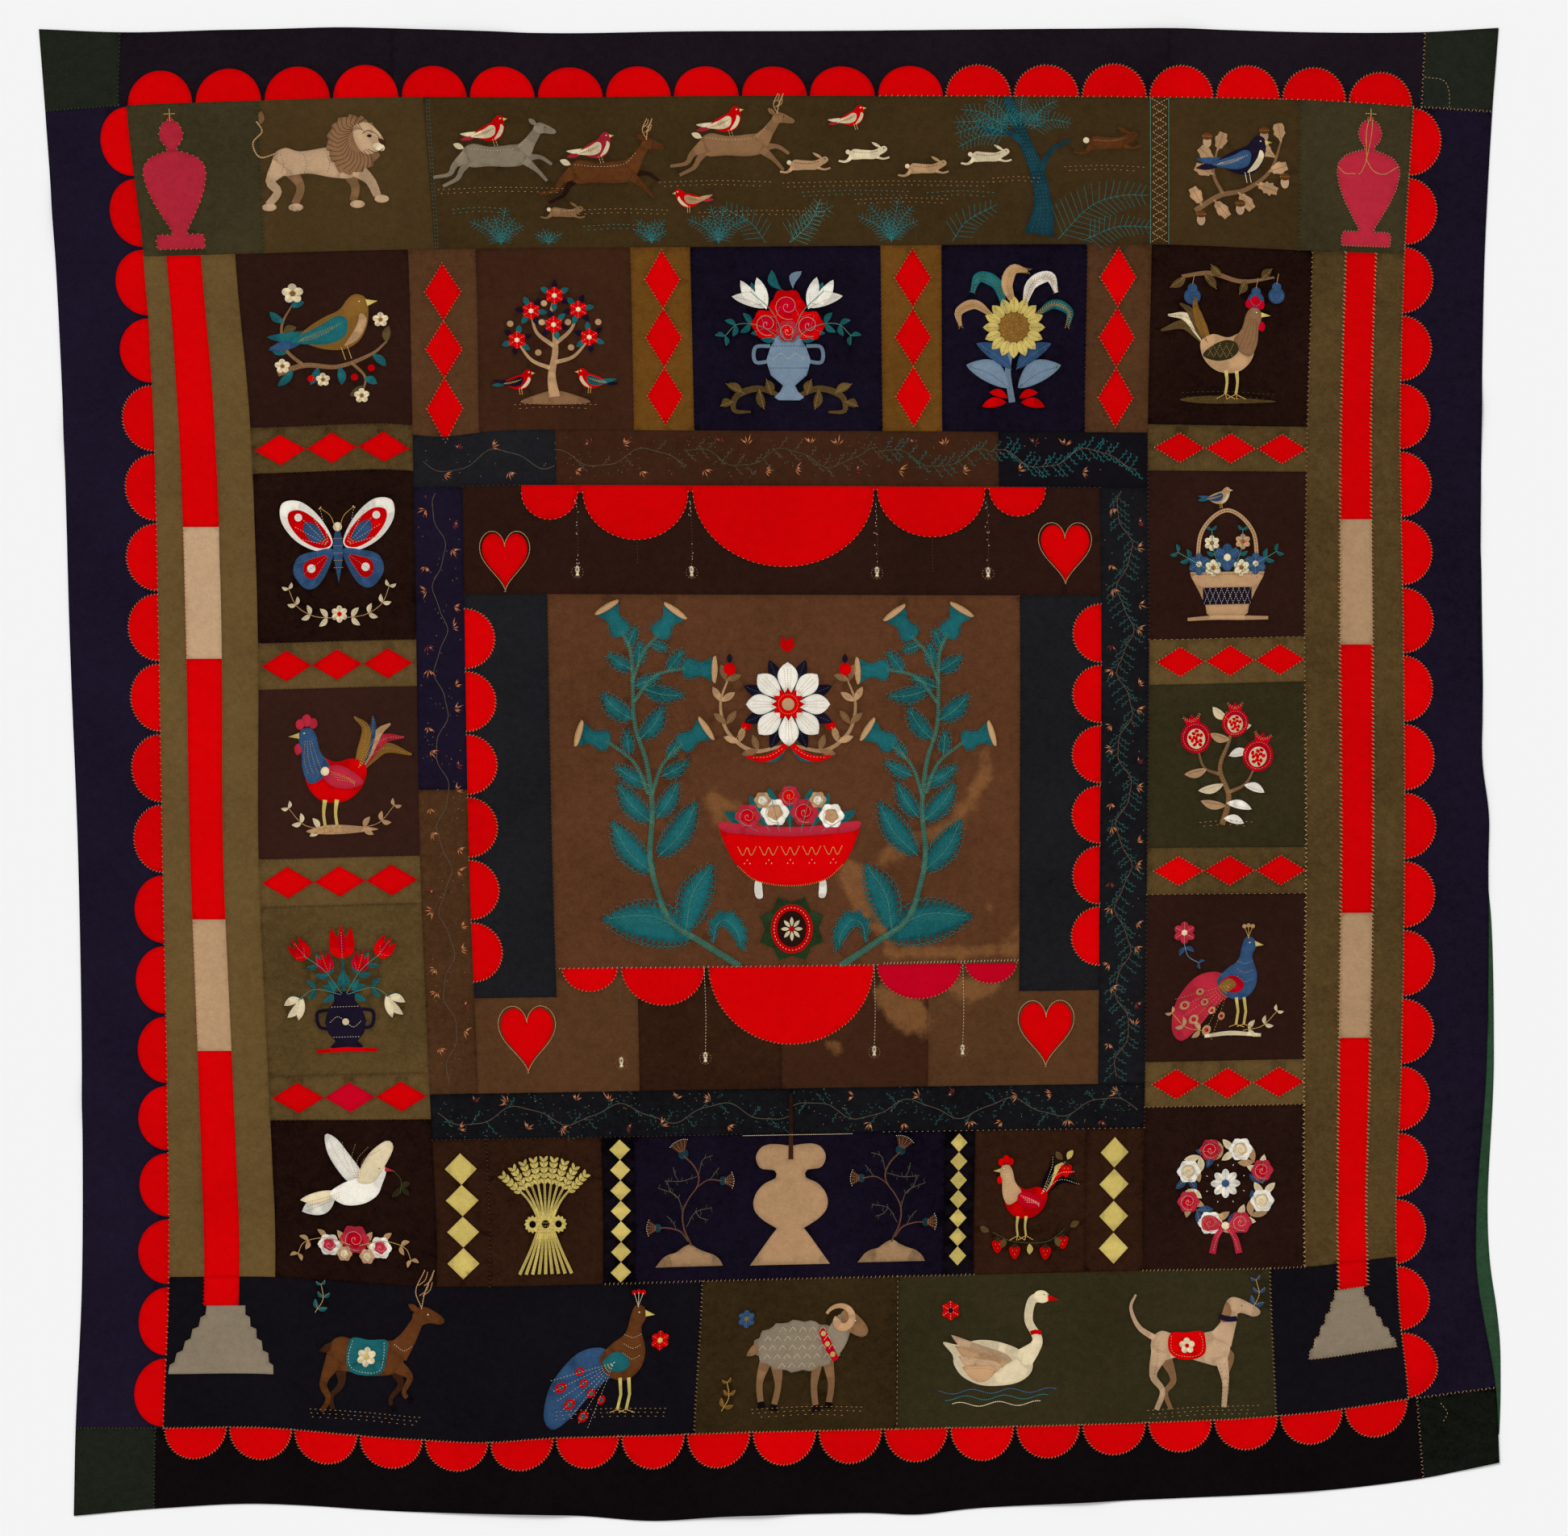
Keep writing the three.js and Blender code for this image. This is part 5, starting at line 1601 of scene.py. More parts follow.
def peafowl_block(p):
    q = p.sub(16, -16, 0.98)
    peafowl(q, "blue", "raspberry", "tan", "crimson", "gold")
    q.blob("ochre", (2, 2), (-10, 12), (-26, 0), (-14, -10))
    for side, r in p.sides():
        leafy(r, curve((30, -84), (58, -78), (80, -56)), "cream" if side > 0 else "tan", "gold", 3, 18, 8)
    p.band("cream", [(-30, -92), (10, -88), (56, -92)], 5, 7, 5)
    bloom(p, -62, 66, 17, 6, "raspberry", "cream", "pink")
    leafy(p, curve((-62, 48), (-56, 30), (-40, 20)), "blue", "sky", 2, 17, 8)


def wreath(p):
    """A ring of leaves and flowers tied with a ribbon."""
    for k in range(20):
        a = math.radians(18 * k + 4)
        x, y = ray(0, 6, 60 if k % 2 else 56, a)
        for out in (0.5, -0.9):
            way = a + math.pi / 2 - out
            p.leaf(("blue", "cream", "tan")[k % 3], x, y, *ray(x, y, 25, way), 11, 1)
            p.run("gold", [(x, y), ray(x, y, 18, way)], 3.6, 3, 0.8)
    for k, a in enumerate(spokes(8, 22.5)):
        x, y = ray(0, 6, 60, a)
        if k % 2:
            rose(p, x, y, 17, "white", "cream", "tan")
        else:
            rose(p, x, y, 16, "raspberry", "crimson", "pink")
    for _, q in p.sides(0, -54):
        q.blob("raspberry", (3, 0), (18, 15), (34, 13), (34, -5), (18, -7))
        q.band("raspberry", [(3, -2), (14, -18), (20, -42)], 7, 9, 10)
        q.run("pink", curve((6, -8), (14, -22), (18, -36)), 3.8, 3, 1.0)
    p.oval("cream", 0, -54, 6)
    bloom(p, 0, 10, 22, 8, "white", "blue", "tan")
    for a in spokes(8, 22.5):
        p.seed("cream", [ray(0, 10, 30, a)], 4, a, 1.8)


def wheat_sheaf(p):
    """A yellow sheaf with small sunflowers at its tie."""
    for k in range(9):
        lean = (k - 4) / 4
        top = (60 * lean, 74 - 22 * lean * lean)
        p.band("yellow", [(8 * lean, -14), (26 * lean, 20), top], 4, 3.5, 3)
        way = math.atan2(top[1] - 20, top[0] - 26 * lean)
        for j in range(5):
            x = top[0] - 8 * j * math.cos(way)
            y = top[1] - 8 * j * math.sin(way)
            for side in (-1, 1):
                p.leaf("yellow", x, y, *ray(x, y, 11, way + side * 0.6), 5)
        p.run("brown", curve((26 * lean, 20), top), 4, 3, 0.8)
        p.band("yellow", [(8 * lean, -14), (22 * lean, -50), (40 * lean, -88)], 4, 4, 5)
        p.run("gold", curve((8 * lean, -14), (22 * lean, -50), (38 * lean, -84)), 5, 3.6, 0.8)
    p.cut("scarlet", strip([(-17, -13), (0, -16), (17, -13)], 10, 12, 10))
    for x, r in ((-20, 13), (20, 13), (0, 15)):
        for a in spokes(12):
            p.leaf("yellow", *ray(x, -16, 4, a), *ray(x, -16, r, a), 6)
        p.oval("jet", x, -16, r * 0.4)


def berry_cock(p):
    """A small red cockerel among strawberries."""
    q = p.sub(-4, 4, 0.84, flip=True)
    cockerel(q, "scarlet", "tan", ["jet", "scarlet", "yellow", "jet"], "crimson", "scarlet", "cream")
    for x, y in ((-52, -66), (-24, -76), (26, -78), (54, -62), (58, 50)):
        p.blob("scarlet", (x, y + 9), (x + 9, y + 6), (x + 6, y - 6), (x, y - 12), (x - 6, y - 6),
               (x - 9, y + 6))
        p.cut("sage", star(x, y + 10, 8, 3, 5))
        p.seed("gold", [(x - 3, y + 2), (x + 3, y + 2), (x, y - 4)], 2.2, 1.5, 1.1)
    p.stem("green", curve((-58, -46), (-26, -60), (26, -62), (56, -44)), 1.5)
    for x, y, a in ((-66, -44, 150), (-40, -54, 250), (0, -64, 270), (42, -54, 290), (66, -40, 30),
                    (60, 66, 60), (52, 66, 130)):
        way = math.radians(a)
        p.leaf("yellow" if a in (270, 60) else "olive", x, y, *ray(x, y, 17, way), 10, 1)


def oak_and_bird(p):
    """Tan oak boughs with acorns and a navy bird."""
    p.band("fawn", [(-70, -66), (-30, -40), (14, -28), (54, 4), (72, 52)], 9, 8, 7, 5, 3)
    p.band("fawn", [(-24, -38), (-40, -4), (-34, 34)], 6, 5, 3)
    for x0, y0, x1, y1 in ((-58, -58, -76, -26), (-40, -46, -14, -76), (0, -32, 26, -62),
                           (28, -18, 68, -30), (50, 2, 84, 14), (62, 26, 36, 42), (72, 50, 66, 84),
                           (-38, -6, -72, 8), (-38, 14, -64, 40), (-34, 32, -22, 66)):
        p.cut("tan", lobed(x0, y0, x1, y1, 20))
        p.run("brown", [(x0, y0), (x0 * 0.15 + x1 * 0.85, y0 * 0.15 + y1 * 0.85)], 3.8)
    for x, y in ((-60, -74), (4, -54), (78, -8), (-50, 54), (44, 66)):
        p.oval("bone", x, y - 6, 7, 10)
        p.oval("brown", x, y + 3, 9, 6)
        p.run("gold", [(x - 7, y + 3), (x + 7, y + 3)], 3, 2.6)
    songbird(p.sub(6, 16, 0.86, 4), "navy", "blue", "navy", "cream", "cream")


def lobed(x0, y0, x1, y1, wide):
    """An oak leaf: a leaf with a wavy rim."""
    shape = leaf(x0, y0, x1, y1, wide, 0, 0.6)
    middle = np.array([(x0 + x1) / 2, (y0 + y1) / 2])
    t = np.linspace(0, 1, len(shape), endpoint=False)
    return middle + (shape - middle) * (1 + 0.16 * np.cos(2 * math.pi * 9 * t))[:, None]


def fern(thread, points, count, long):
    """A sewn frond: a stem with a barb on each side at every step."""
    stem_stitch("motif", thread, points, 1.1)
    u, v, way = resample(points, 1.0)
    for k in range(count):
        share = (k + 1) / (count + 1)
        at = int(share * (len(u) - 1))
        reach = long * (1 - 0.75 * share) + 3
        for side in (-1, 1):
            a = way[at] + side * FERN_LEAN
            tip = ray(u[at], v[at], reach, a + side * 0.2)
            stem_stitch("motif", thread, [(u[at], v[at]), tip], 0.85, 3.4)


def bush(thread, x, y, size, fronds=7, spread=140):
    """Sewn fronds that fan out of one root."""
    for k in range(fronds):
        a = math.radians(90 + spread * (k / (fronds - 1) - 0.5))
        long = size * (0.86 + 0.14 * math.sin(2.2 * k + x))
        bend = 0.2 * long * math.cos(a)
        tip = ray(x, y, long, a)
        middle = ((x + tip[0]) / 2 - bend * 0.4, (y + tip[1]) / 2 + abs(bend) * 0.5)
        fern(thread, curve((x, y), middle, tip), max(4, int(long / 6)), long * 0.2)


def add_frieze():
    """A long meadow: leaping deer, birds and hares between a tree, ferns and bushes."""
    for u, v, size, coat, dark in ((-424, 946, 1.14, "stone", "stone"),
                                   (-262, 920, 1.16, "brown", "chocolate"),
                                   (-60, 960, 1.14, "fawn", "fawn")):
        deer(Place("frieze", u, v, size), coat, dark, "cream", coat != "stone")
    for u, v, size, dye, wing in ((-436, 985, 0.52, "scarlet", "cream"),
                                  (-276, 958, 0.52, "raspberry", "cream"),
                                  (-76, 997, 0.52, "scarlet", "cream"), (-134, 880, 0.42, "scarlet", "tan"),
                                  (116, 1004, 0.42, "scarlet", "cream")):
        songbird(Place("frieze", u, v, size, 8, flip=v < 900), dye, wing, "raspberry", "cream", "tan")
    for u, v, dye in ((46, 932, "tan"), (136, 948, "cream"), (226, 926, "tan"), (322, 944, "cream")):
        hare(Place("frieze", u, v, 0.9, 4), dye, "brown")
    hare(Place("frieze", 508, 966, 1.2, 6), "brown", "tan")
    hare(Place("frieze", -330, 862, 0.8), "fawn", "cream")
    tree = Place("frieze", 0, 0)
    tree.band("pine", [(400, 824), (406, 866), (398, 920), (378, 972), (352, 1040)], 46, 25, 21, 18, 15)
    tree.band("pine", [(398, 912), (418, 954), (448, 972)], 11, 8, 4)
    tree.band("pine", [(382, 962), (352, 984), (312, 988)], 11, 8, 4)
    for x in (-10, -4, 2, 8):
        tree.run("dusk", curve((401 + x * 1.3, 830), (406 + x * 0.9, 866), (398 + x * 0.8, 920),
                               (378 + x * 0.7, 972), (356 + x * 0.6, 1030)), 6, 4, 1.1)
    for k in range(11):
        a = math.radians(200 - 16 * k)
        root = (372 + 22 * math.cos(a), 982 + 12 * math.sin(a))
        tip = (root[0] + 78 * math.cos(a), root[1] + 26 * math.sin(a) + (20 if k % 2 else -8))
        fern("teal", curve(root, ((root[0] + tip[0]) / 2, (root[1] + tip[1]) / 2 + 9), tip), 10, 17)
    for x, y, size in ((-430, 816, 56), (-356, 815, 26), (-196, 816, 40), (-92, 816, 60), (174, 816, 68)):
        bush("teal", x, y, size, 6 if size > 30 else 4, 104)
    for x, turn in ((18, 1), (268, 1), (-20, -1)):
        fern("teal", curve((x, 816), (x + turn * 22, 846), (x + turn * 66, 870)), 9, 24)
    fern("teal", curve((430, 818), (476, 866), (520, 884), (566, 886)), 16, 44)
    fern("teal", curve((470, 816), (520, 836), (572, 836)), 12, 24)
    fern("mint", curve((20, 816), (50, 846), (66, 880)), 11, 20)
    for u0, u1, v in ((-520, -330, 900), (-330, -170, 866), (-180, -10, 908), (10, 330, 906),
                      (330, 400, 912), (440, 560, 930), (-120, 80, 862), (120, 260, 880)):
        grass(Place("frieze", 0, 0), "tan", u0, u1, v, 2)
    for u0, u1, v in ((-500, -420, 870), (40, 200, 892), (230, 330, 890), (-300, -200, 842)):
        grass(Place("frieze", 0, 0), "mint", u0, u1, v, 2)
    for u in (-531, -527):
        running("seam", "teal", straight(u, 812, u + 3, 1036), 6, 3.6, 1.0)
    steps = 17
    for side in (0, 1):
        points = [(574 + 22 * ((k + side) % 2), 814 + 224 * k / steps) for k in range(steps + 1)]
        running("seam", "tan", np.array(points, float), 4.4, 4.2, 1.8)
    for u in (571, 599):
        stem_stitch("seam", "mint", straight(u, 812, u, 1038), 1.3)


def add_bottom_row():
    stag(Place("bottom_1", -668, -926, 1.08), "brown", "chestnut", "teal", "cream", "cream")
    peafowl(Place("bottom_1", -268, -930, 1.16), "brown", "blue", "scarlet", "teal", "cream")
    bloom(Place("bottom_1", -206, -896), 0, 0, 15, 6, "scarlet", "yellow", "gold")
    ram(Place("bottom_2", 26, -920, 1.14), "stone", "fawn", "tan", "crimson", "cream")
    bloom(Place("bottom_2", -68, -868), 0, 0, 14, 6, "blue", "ochre", "sky")
    swan(Place("bottom_3", 340, -936, 1.08), "cream", "tan", "scarlet", "bone", "tan")
    bloom(Place("bottom_3", 262, -862), 0, 0, 15, 6, "scarlet", "navy", "cream")
    hound(Place("bottom_3", 646, -932, 1.12), "bone", "fawn", "navy", "scarlet", "brown")
    for u, v, dye in ((-760, -858, "teal"), (-100, -1006, "ochre"), (742, -868, "blue")):
        p = Place("bottom_1 bottom_2 bottom_3", u, v)
        leafy(p, curve((0, 0), (10, 20), (6, 42)), dye, "gold", 3, 17, 8)
    for panel, u, v in (("bottom_1", -668, -1006), ("bottom_1", -280, -1000), ("bottom_2", 30, -1006),
                        ("bottom_3", 652, -1022)):
        grass(Place(panel, 0, 0), "tan", u - 82, u + 90, v, 3)


def vee_flower(u, v, heading, thread="rust", size=1.0):
    """A small flower of straight stitches that fan out of one point."""
    for spread, long in ((-44, 12), (-18, 14), (14, 12), (42, 14)):
        a = math.radians(heading + spread + 6 * DRAW.standard_normal())
        far = long * size * (1 + 0.1 * DRAW.standard_normal())
        sew("seam", thread, [u + far * 0.6 * math.cos(a)], [v + far * 0.6 * math.sin(a)], a, far, 2.1)
    a = math.radians(heading + 30)
    sew("seam", "cream", [u + 7 * math.cos(a)], [v + 7 * math.sin(a)], a, 5, 1.3)


def sprig(thread, u, v, heading, long):
    """A short sewn twig with leaves by turns on its two sides."""
    a = math.radians(heading)
    tip = ray(u, v, long, a)
    stem_stitch("seam", thread, [(u, v), tip], 0.9, 3.4)
    for number, share in enumerate((0.3, 0.5, 0.7, 0.9)):
        way = a + (0.75 if number % 2 else -0.75)
        x = u + long * share * math.cos(a)
        y = v + long * share * math.sin(a)
        sew("seam", thread, [x + 2.4 * math.cos(way)], [y + 2.4 * math.sin(way)], way, 5.4, 0.95)


VINES = table(
    "start end period amp stem leaf twigs leaves",
    ((-556, 474), (-352, 474), 150, 15, "ash", "ash", 0.0, 0.3),
    ((-352, 474), (-150, 476), 150, 14, "ash", "ash", 0.3, 1.6),
    ((-150, 476), (150, 476), 140, 14, "green", "ash", 1.0, 2.0),
    ((150, 476), (338, 476), 150, 14, "green", "dusk", 1.6, 1.4),
    ((338, 476), (556, 478), 150, 15, "wood", "teal", 2.2, 0.6),
    ((-535, 420), (-535, -500), 125, 10, "ash", "ash", 0.0, 0.9),
    ((535, 425), (535, -505), 127, 12, "wood", "dusk", 1.8, 0.3),
    ((-560, -549), (-4, -549), 160, 14, "ash", "dusk", 0.3, 3.4),
    ((560, -549), (4, -549), 160, 14, "ash", "dusk", 0.4, 3.0))


def add_vines():
    for vine in VINES:
        start = np.array(vine["start"], float)
        along = np.array(vine["end"], float) - start
        long = math.hypot(*along)
        way = along / long
        side = np.array([-way[1], way[0]])
        far = np.arange(0, long, 3.0)
        phase = 2 * math.pi * (far + abs(start[0]) * 0.13) / vine["period"]
        swing = vine["amp"] * (np.sin(phase) + 0.16 * np.sin(2.7 * phase + 1))
        line = start + far[:, None] * way + swing[:, None] * side
        stem_stitch("seam", vine["stem"], line, 1.5)
        heading = math.degrees(math.atan2(way[1], way[0]))
        for k in range(int(long / vine["period"] * 2)):
            at = min(len(line) - 1, int((k + 0.4) * vine["period"] / 2 / 3.0))
            flip = 1 if k % 2 else -1
            u, v = start + far[at] * way + side * flip * 19
            vee_flower(u, v, heading + 40 + flip * (50 + 30 * DRAW.standard_normal()))
            u, v = start + far[at] * way + side * -flip * 21 + way * 26
            vee_flower(u, v, heading + 40 - flip * (50 + 25 * DRAW.standard_normal()),
                       "rust" if k % 3 else "wine", 0.85)
        count = int(long / 11 * vine["twigs"])
        for k in range(count):
            flip = 1 if k % 2 else -1
            at = int((k + DRAW.random()) / count * (len(line) - 1))
            sprig(vine["leaf"], *line[at], heading + flip * (44 + 12 * DRAW.random()),
                  15 + 9 * DRAW.random())
        count = int(long / 9 * vine["leaves"])
        at = DRAW.integers(0, len(line), count)
        reach = 24 * (2 * DRAW.random(count) - 1)
        u, v = (line[at] + side * reach[:, None]).T
        lean = math.atan2(way[1], way[0]) + 0.8 * DRAW.standard_normal(count)
        sew("seam", vine["leaf"], u, v, lean, 4.4, 1.15)
        count = int(long / 22)
        spots = start + way * long * DRAW.random((count, 1))
        u, v = (spots + side * 32 * (2 * DRAW.random((count, 1)) - 1)).T
        sew("seam", "fawn", u, v, 3 * DRAW.random(count), 3.2, 1.3)


VASE_STEMS = [((0, 0), (-12, 25), (-14, 50), (-4, 71), (9, 88), (12, 104), (4, 121), (-10, 135)),
              ((9, 88), (28, 99), (48, 97)), ((-6, 7), (-18, 21), (-39, 27), (-50, 27))]
VASE_HEADS = table(
    "x y turn size",
    (-10, 134, 112, 1.0), (47, 97, 2, 0.8), (-50, 27, 178, 0.8))
VASE_TWIGS = [((-13, 46), (-23, 75), (-52, 88)), ((-24, 74), (-34, 84), (-38, 96)),
              ((-7, 29), (7, 50), (32, 56)), ((8, 50), (14, 42), (26, 38)),
              ((8, 104), (-16, 98), (-41, 99)), ((-20, 98), (-26, 108), (-28, 118)),
              ((13, 110), (19, 130), (34, 136)), ((-24, 24), (-30, 36), (-38, 44)),
              ((30, 99), (38, 108), (44, 116))]


def add_vase_thistles():
    """A wiry thistle on each mound, with fan-shaped heads."""
    for side, root in ((-1, -161), (1, 166)):
        p = Place("vase", root, -752, 1.0, 0, flip=side > 0)
        for points in VASE_STEMS:
            p.stem("wood", curve(*points), 2.4)
            p.stem("brown", curve(*points) + (1.2, 0.6), 1.4)
        for head in VASE_HEADS:
            q = p.sub(head["x"], head["y"], head["size"], head["turn"] - 90)
            q.blob("pine", (0, -2), (7, 1), (8, 8), (4, 13), (-4, 13), (-8, 8), (-7, 1))
            q.cut("chestnut", [(-6, 10), (6, 10), (15, 24), (8, 27), (0, 28), (-8, 27), (-15, 24)])
            for k in range(9):
                lean = (k - 4) / 4
                q.stem("fawn" if k % 2 else "brown", [(5 * lean, 11), (13.5 * lean, 25 - 2 * abs(lean))],
                       1.2)
            q.run("cream", curve((-15, 24), (-8, 27), (0, 28), (8, 27), (15, 24)), 3.6, 2.4, 1.5)
            q.run("green", curve((-3, 1), (0, 6), (2, 11)), 3.0, 2.6)
        for points in VASE_TWIGS:
            line = curve(*points)
            p.stem("ash", line)
            for k in range(2, len(line), 2):
                flip = 1 if k % 4 else -1
                p.run("green" if k % 3 else "ash", [line[k], line[k] + (1.6, flip * 5.0)], 3.4, 3.4, 1.1)


SEAMS = table(
    "start end thread kind step length width",
    ((880.5, -848), (880.5, 808), "tan", overcast, 6.8, 8.6, 2.0),
    ((930.5, -848), (932.5, 808), "tan", overcast, 6.8, 8.6, 2.0),
    ((-927.5, -850), (-936, 0), "red", overcast, 6.5, 4.6),
    ((-936, 0), (-941, 808), "red", overcast, 6.5, 4.6),
    ((FIGURE_OUT, 100), (FIGURE_OUT, 806), "tan", zigzag, 7.5, 6.0, 1.0),
    ((FIGURE_OUT, -806), (FIGURE_OUT, 100), "tan", zigzag, 7.2, 8.0, 1.9),
    ((FIGURE_IN, -580), (FIGURE_IN, 516), "brown", zigzag, 7.0, 6.0),
    ((FIELD, 1038), (FIELD, -1038), "tan", overcast, 6.0, 6.0),
    ((-FIELD, -1038), (-FIELD, 440), "tan", overcast, 8.5, 5.4),
    ((-FIELD, FIELD_BOTTOM), (FIELD, FIELD_BOTTOM), "tan", overcast, 5.6, 6.0),
    ((160, FIELD_TOP), (FIELD, FIELD_TOP), "tan", overcast, 9.0, 5.0),
    ((-CORNER_IN, FIELD_TOP + 2), (-CORNER_IN, EDGE_TOP - 3), "green", zigzag, 6.5, 6.0),
    ((EDGE_LEFT + 3, FIELD_TOP), (-CORNER_IN, FIELD_TOP), "green", zigzag, 6.5, 6.0),
    ((CORNER_IN, FIELD_TOP), (CORNER_IN, EDGE_TOP - 3), "tan", zigzag, 6.0, 6.5),
    ((CORNER_IN, FIELD_TOP), (EDGE_RIGHT - 3, FIELD_TOP), "tan", zigzag, 6.0, 6.5),
    ((CORNER_IN, FIELD_BOTTOM), (CORNER_IN, EDGE_BOTTOM + 3), "tan", zigzag, 6.0, 6.5),
    ((CORNER_IN, FIELD_BOTTOM), (EDGE_RIGHT - 3, FIELD_BOTTOM), "tan", zigzag, 5.6, 6.5),
    ((-CORNER_IN, FIELD_BOTTOM), (-CORNER_IN, EDGE_BOTTOM + 3), "green", zigzag, 6.0, 6.5),
    ((EDGE_LEFT + 3, FIELD_BOTTOM), (-CORNER_IN, FIELD_BOTTOM), "green", zigzag, 6.0, 6.5),
    ((-142, RIDERS), (-142, FIELD_BOTTOM), "tan", overcast, 6.5, 5.6),
    ((176, RIDERS), (176, FIELD_BOTTOM), "tan", running, 8.0, 4.6),
    ((770, RIDERS), (770, FIELD_BOTTOM), "tan", overcast, 6.5, 5.6),
    ((-300, RIDERS), (300, RIDERS), "tan", overcast, 7.0, 5.6),
    ((FIGURE_IN, -216), (FIGURE_OUT, -216), "tan", running, 9.0, 4.0),
    ((FIGURE_IN, 193), (FIGURE_OUT, 193), "tan", running, 9.0, 4.0),
    ((FIGURE_IN, -552), (FIGURE_OUT, -552), "tan", overcast, 7.0, 5.0),
    ((FIGURE_IN, -808), (FIGURE_OUT, -808), "tan", overcast, 6.0, 5.6),
    ((803, FRIEZE), (803, FIELD_TOP), "green", overcast, 6.5, 5.6),
    ((-781, FRIEZE), (-781, FIELD_TOP), "green", overcast, 6.5, 5.6),
    ((-573, VINE_BOTTOM), (-80, VINE_BOTTOM), "brown", running, 7.5, 4.2),
    ((150, VINE_BOTTOM), (573, VINE_BOTTOM), "tan", running, 9.0, 3.6),
    ((-487, VINE_BOTTOM), (-487, RIDERS), "brown", overcast, 6.5, 5.6),
    ((-CENTRE, CENTRE_BOTTOM), (-CENTRE, CANOPY_BOTTOM), "brown", overcast, 6.5, 4.6),
    ((CENTRE, CENTRE_BOTTOM), (CENTRE, CANOPY_BOTTOM), "brown", overcast, 6.5, 4.6),
    ((-VINE_IN, CANOPY_TOP), (VINE_IN, CANOPY_TOP), "brown", running, 8.0, 4.4))


def add_seams():
    running("seam", "tan", curve((CORNER_IN + 4, 1086), (1026, 1082), (1036, 1066), (1038, 1044)), 6.0, 4.4)
    running("seam", "tan", curve((1028, -1056), (1036, -1072), (1030, -1084)), 7.0, 4.4)
    for seam in SEAMS:
        line = straight(*seam["start"], *seam["end"])
        seam["kind"]("seam", seam["thread"], line, seam["step"], seam["length"],
                     width=seam.get("width", 1.0))
    for number in range(1, 5):
        for v in COLUMN_V[2 * number - 1:2 * number + 1]:
            overcast("seam", "brown", straight(-FIGURE_OUT + 2, v, -FIGURE_IN - 2, v), 7.5, 4.6)
    for u in TOP_ROW_U[1:-1]:
        overcast("seam", "brown", straight(u, VINE_TOP + 2, u, FRIEZE - 2), 7.5, 4.6)


def add_motifs():
    """One motif to each block, in the order of the panels."""
    cherry_branch(Place("block_left_1", -694, 668))
    butterfly(Place("block_left_2", -694, 324, 1.03))
    crowing_cock(Place("block_left_3", -694, 0, 1.06))
    tulip_jar(Place("block_left_4", -700, -342, 1.08))
    dove_roses(Place("block_left_5", -702, -676, 1.05))
    flowering_tree(Place("block_top_1", -352, 656, 1.02))
    rose_urn(Place("block_top_2", 12, 654, 1.16))
    sunflower(Place("block_top_3", 362, 660, 1.12))
    pear_and_fowl(Place("block_right_1", 698, 672, 1.08))
    flower_basket(Place("block_right_2", 699, 320, 1.04))
    pomegranates(Place("block_right_3", 698, -10, 1.02))
    peafowl_block(Place("block_right_4", 698, -346, 1.04))
    wreath(Place("block_right_5", 702, -684, 1.03))
    wheat_sheaf(Place("block_low_1", -397, -698, 1.05))
    berry_cock(Place("block_low_2", 390, -698, 1.0))
    oak_and_bird(Place("frieze_right", 706, 926, 0.95))
    lion(Place("frieze_left", -692, 938, 1.2), "bone", "fawn", "fawn")
    grass(Place("frieze_left", 0, 0), "brown", -770, -610, 872, 2)
    thistle(Place("centre", 0, 0))
    thistle(Place("centre", 0, -2, 1.0, 0, flip=True))
    rosette(Place("centre", 2, 92, 1.1))
    flower_bowl(Place("centre", 2, -124, 1.06))
    badge(Place("centre lower", 3, -262, 0.97))


# Where the cloth has faded or been marked: chains of points and how wide the mark is at each, in millimetres
STAINS = [
    [(316, 24, 7), (312, -18, 10), (288, -62, 12), (266, -100, 13), (226, -114, 10), (168, -140, 15),
     (146, -152, 12)],
    [(-114, -58, 18), (-92, -84, 26), (-66, -116, 34), (-48, -150, 32)],
    [(92, -168, 20), (118, -206, 28), (140, -244, 26), (160, -276, 16)],
    [(160, -300, 10), (226, -306, 11), (300, -302, 9), (366, -296, 14)],
    [(160, -372, 24), (190, -398, 32), (212, -424, 14)],
    [(258, -352, 16), (290, -366, 18), (330, -352, 12)],
    [(66, -446, 6), (76, -452, 8)],
    [(368, -262, 6), (364, -288, 8)],
    [(338, 46, 3), (340, 44, 3)],
    [(318, -226, 3), (322, -230, 3)],
]
STAINED = ("tobacco", "hazel", "chestnut", "umber")


def stain_depth(u, v):
    """How far inside a mark each point is, in millimetres; negative outside."""
    depth = np.full(len(u), -60.0)
    for chain in STAINS:
        for a, b in zip(chain[:-1], chain[1:]):
            along = np.array([b[0] - a[0], b[1] - a[1]], float)
            t = np.clip(((u - a[0]) * along[0] + (v - a[1]) * along[1]) / (along @ along), 0, 1)
            away = np.hypot(u - a[0] - t * along[0], v - a[1] - t * along[1])
            depth = np.maximum(depth, a[2] + (b[2] - a[2]) * t - away)
    return depth


# Turning the plan into cloth

# How finely outlines are cut up, how far the grid starts and ends from a panel's edges, how far apart its
# rows are, and how near two points may lie and still be joined, in millimetres
EDGE_STEP = 9.0
GRID_START = 5.5
GRID_END = 5
ROW_GAP = GRID * 0.87
WELD = 0.02


def densify(outline, step):
    """The same outline with its long sides cut up."""
    ends = np.roll(outline, -1, axis=0)
    out = []
    for a, b in zip(outline, ends):
        steps = max(1, int(math.hypot(*(b - a)) / step))
        t = (np.arange(steps) / steps)[:, None]
        out.append(a + (b - a) * t)
    return np.concatenate(out)


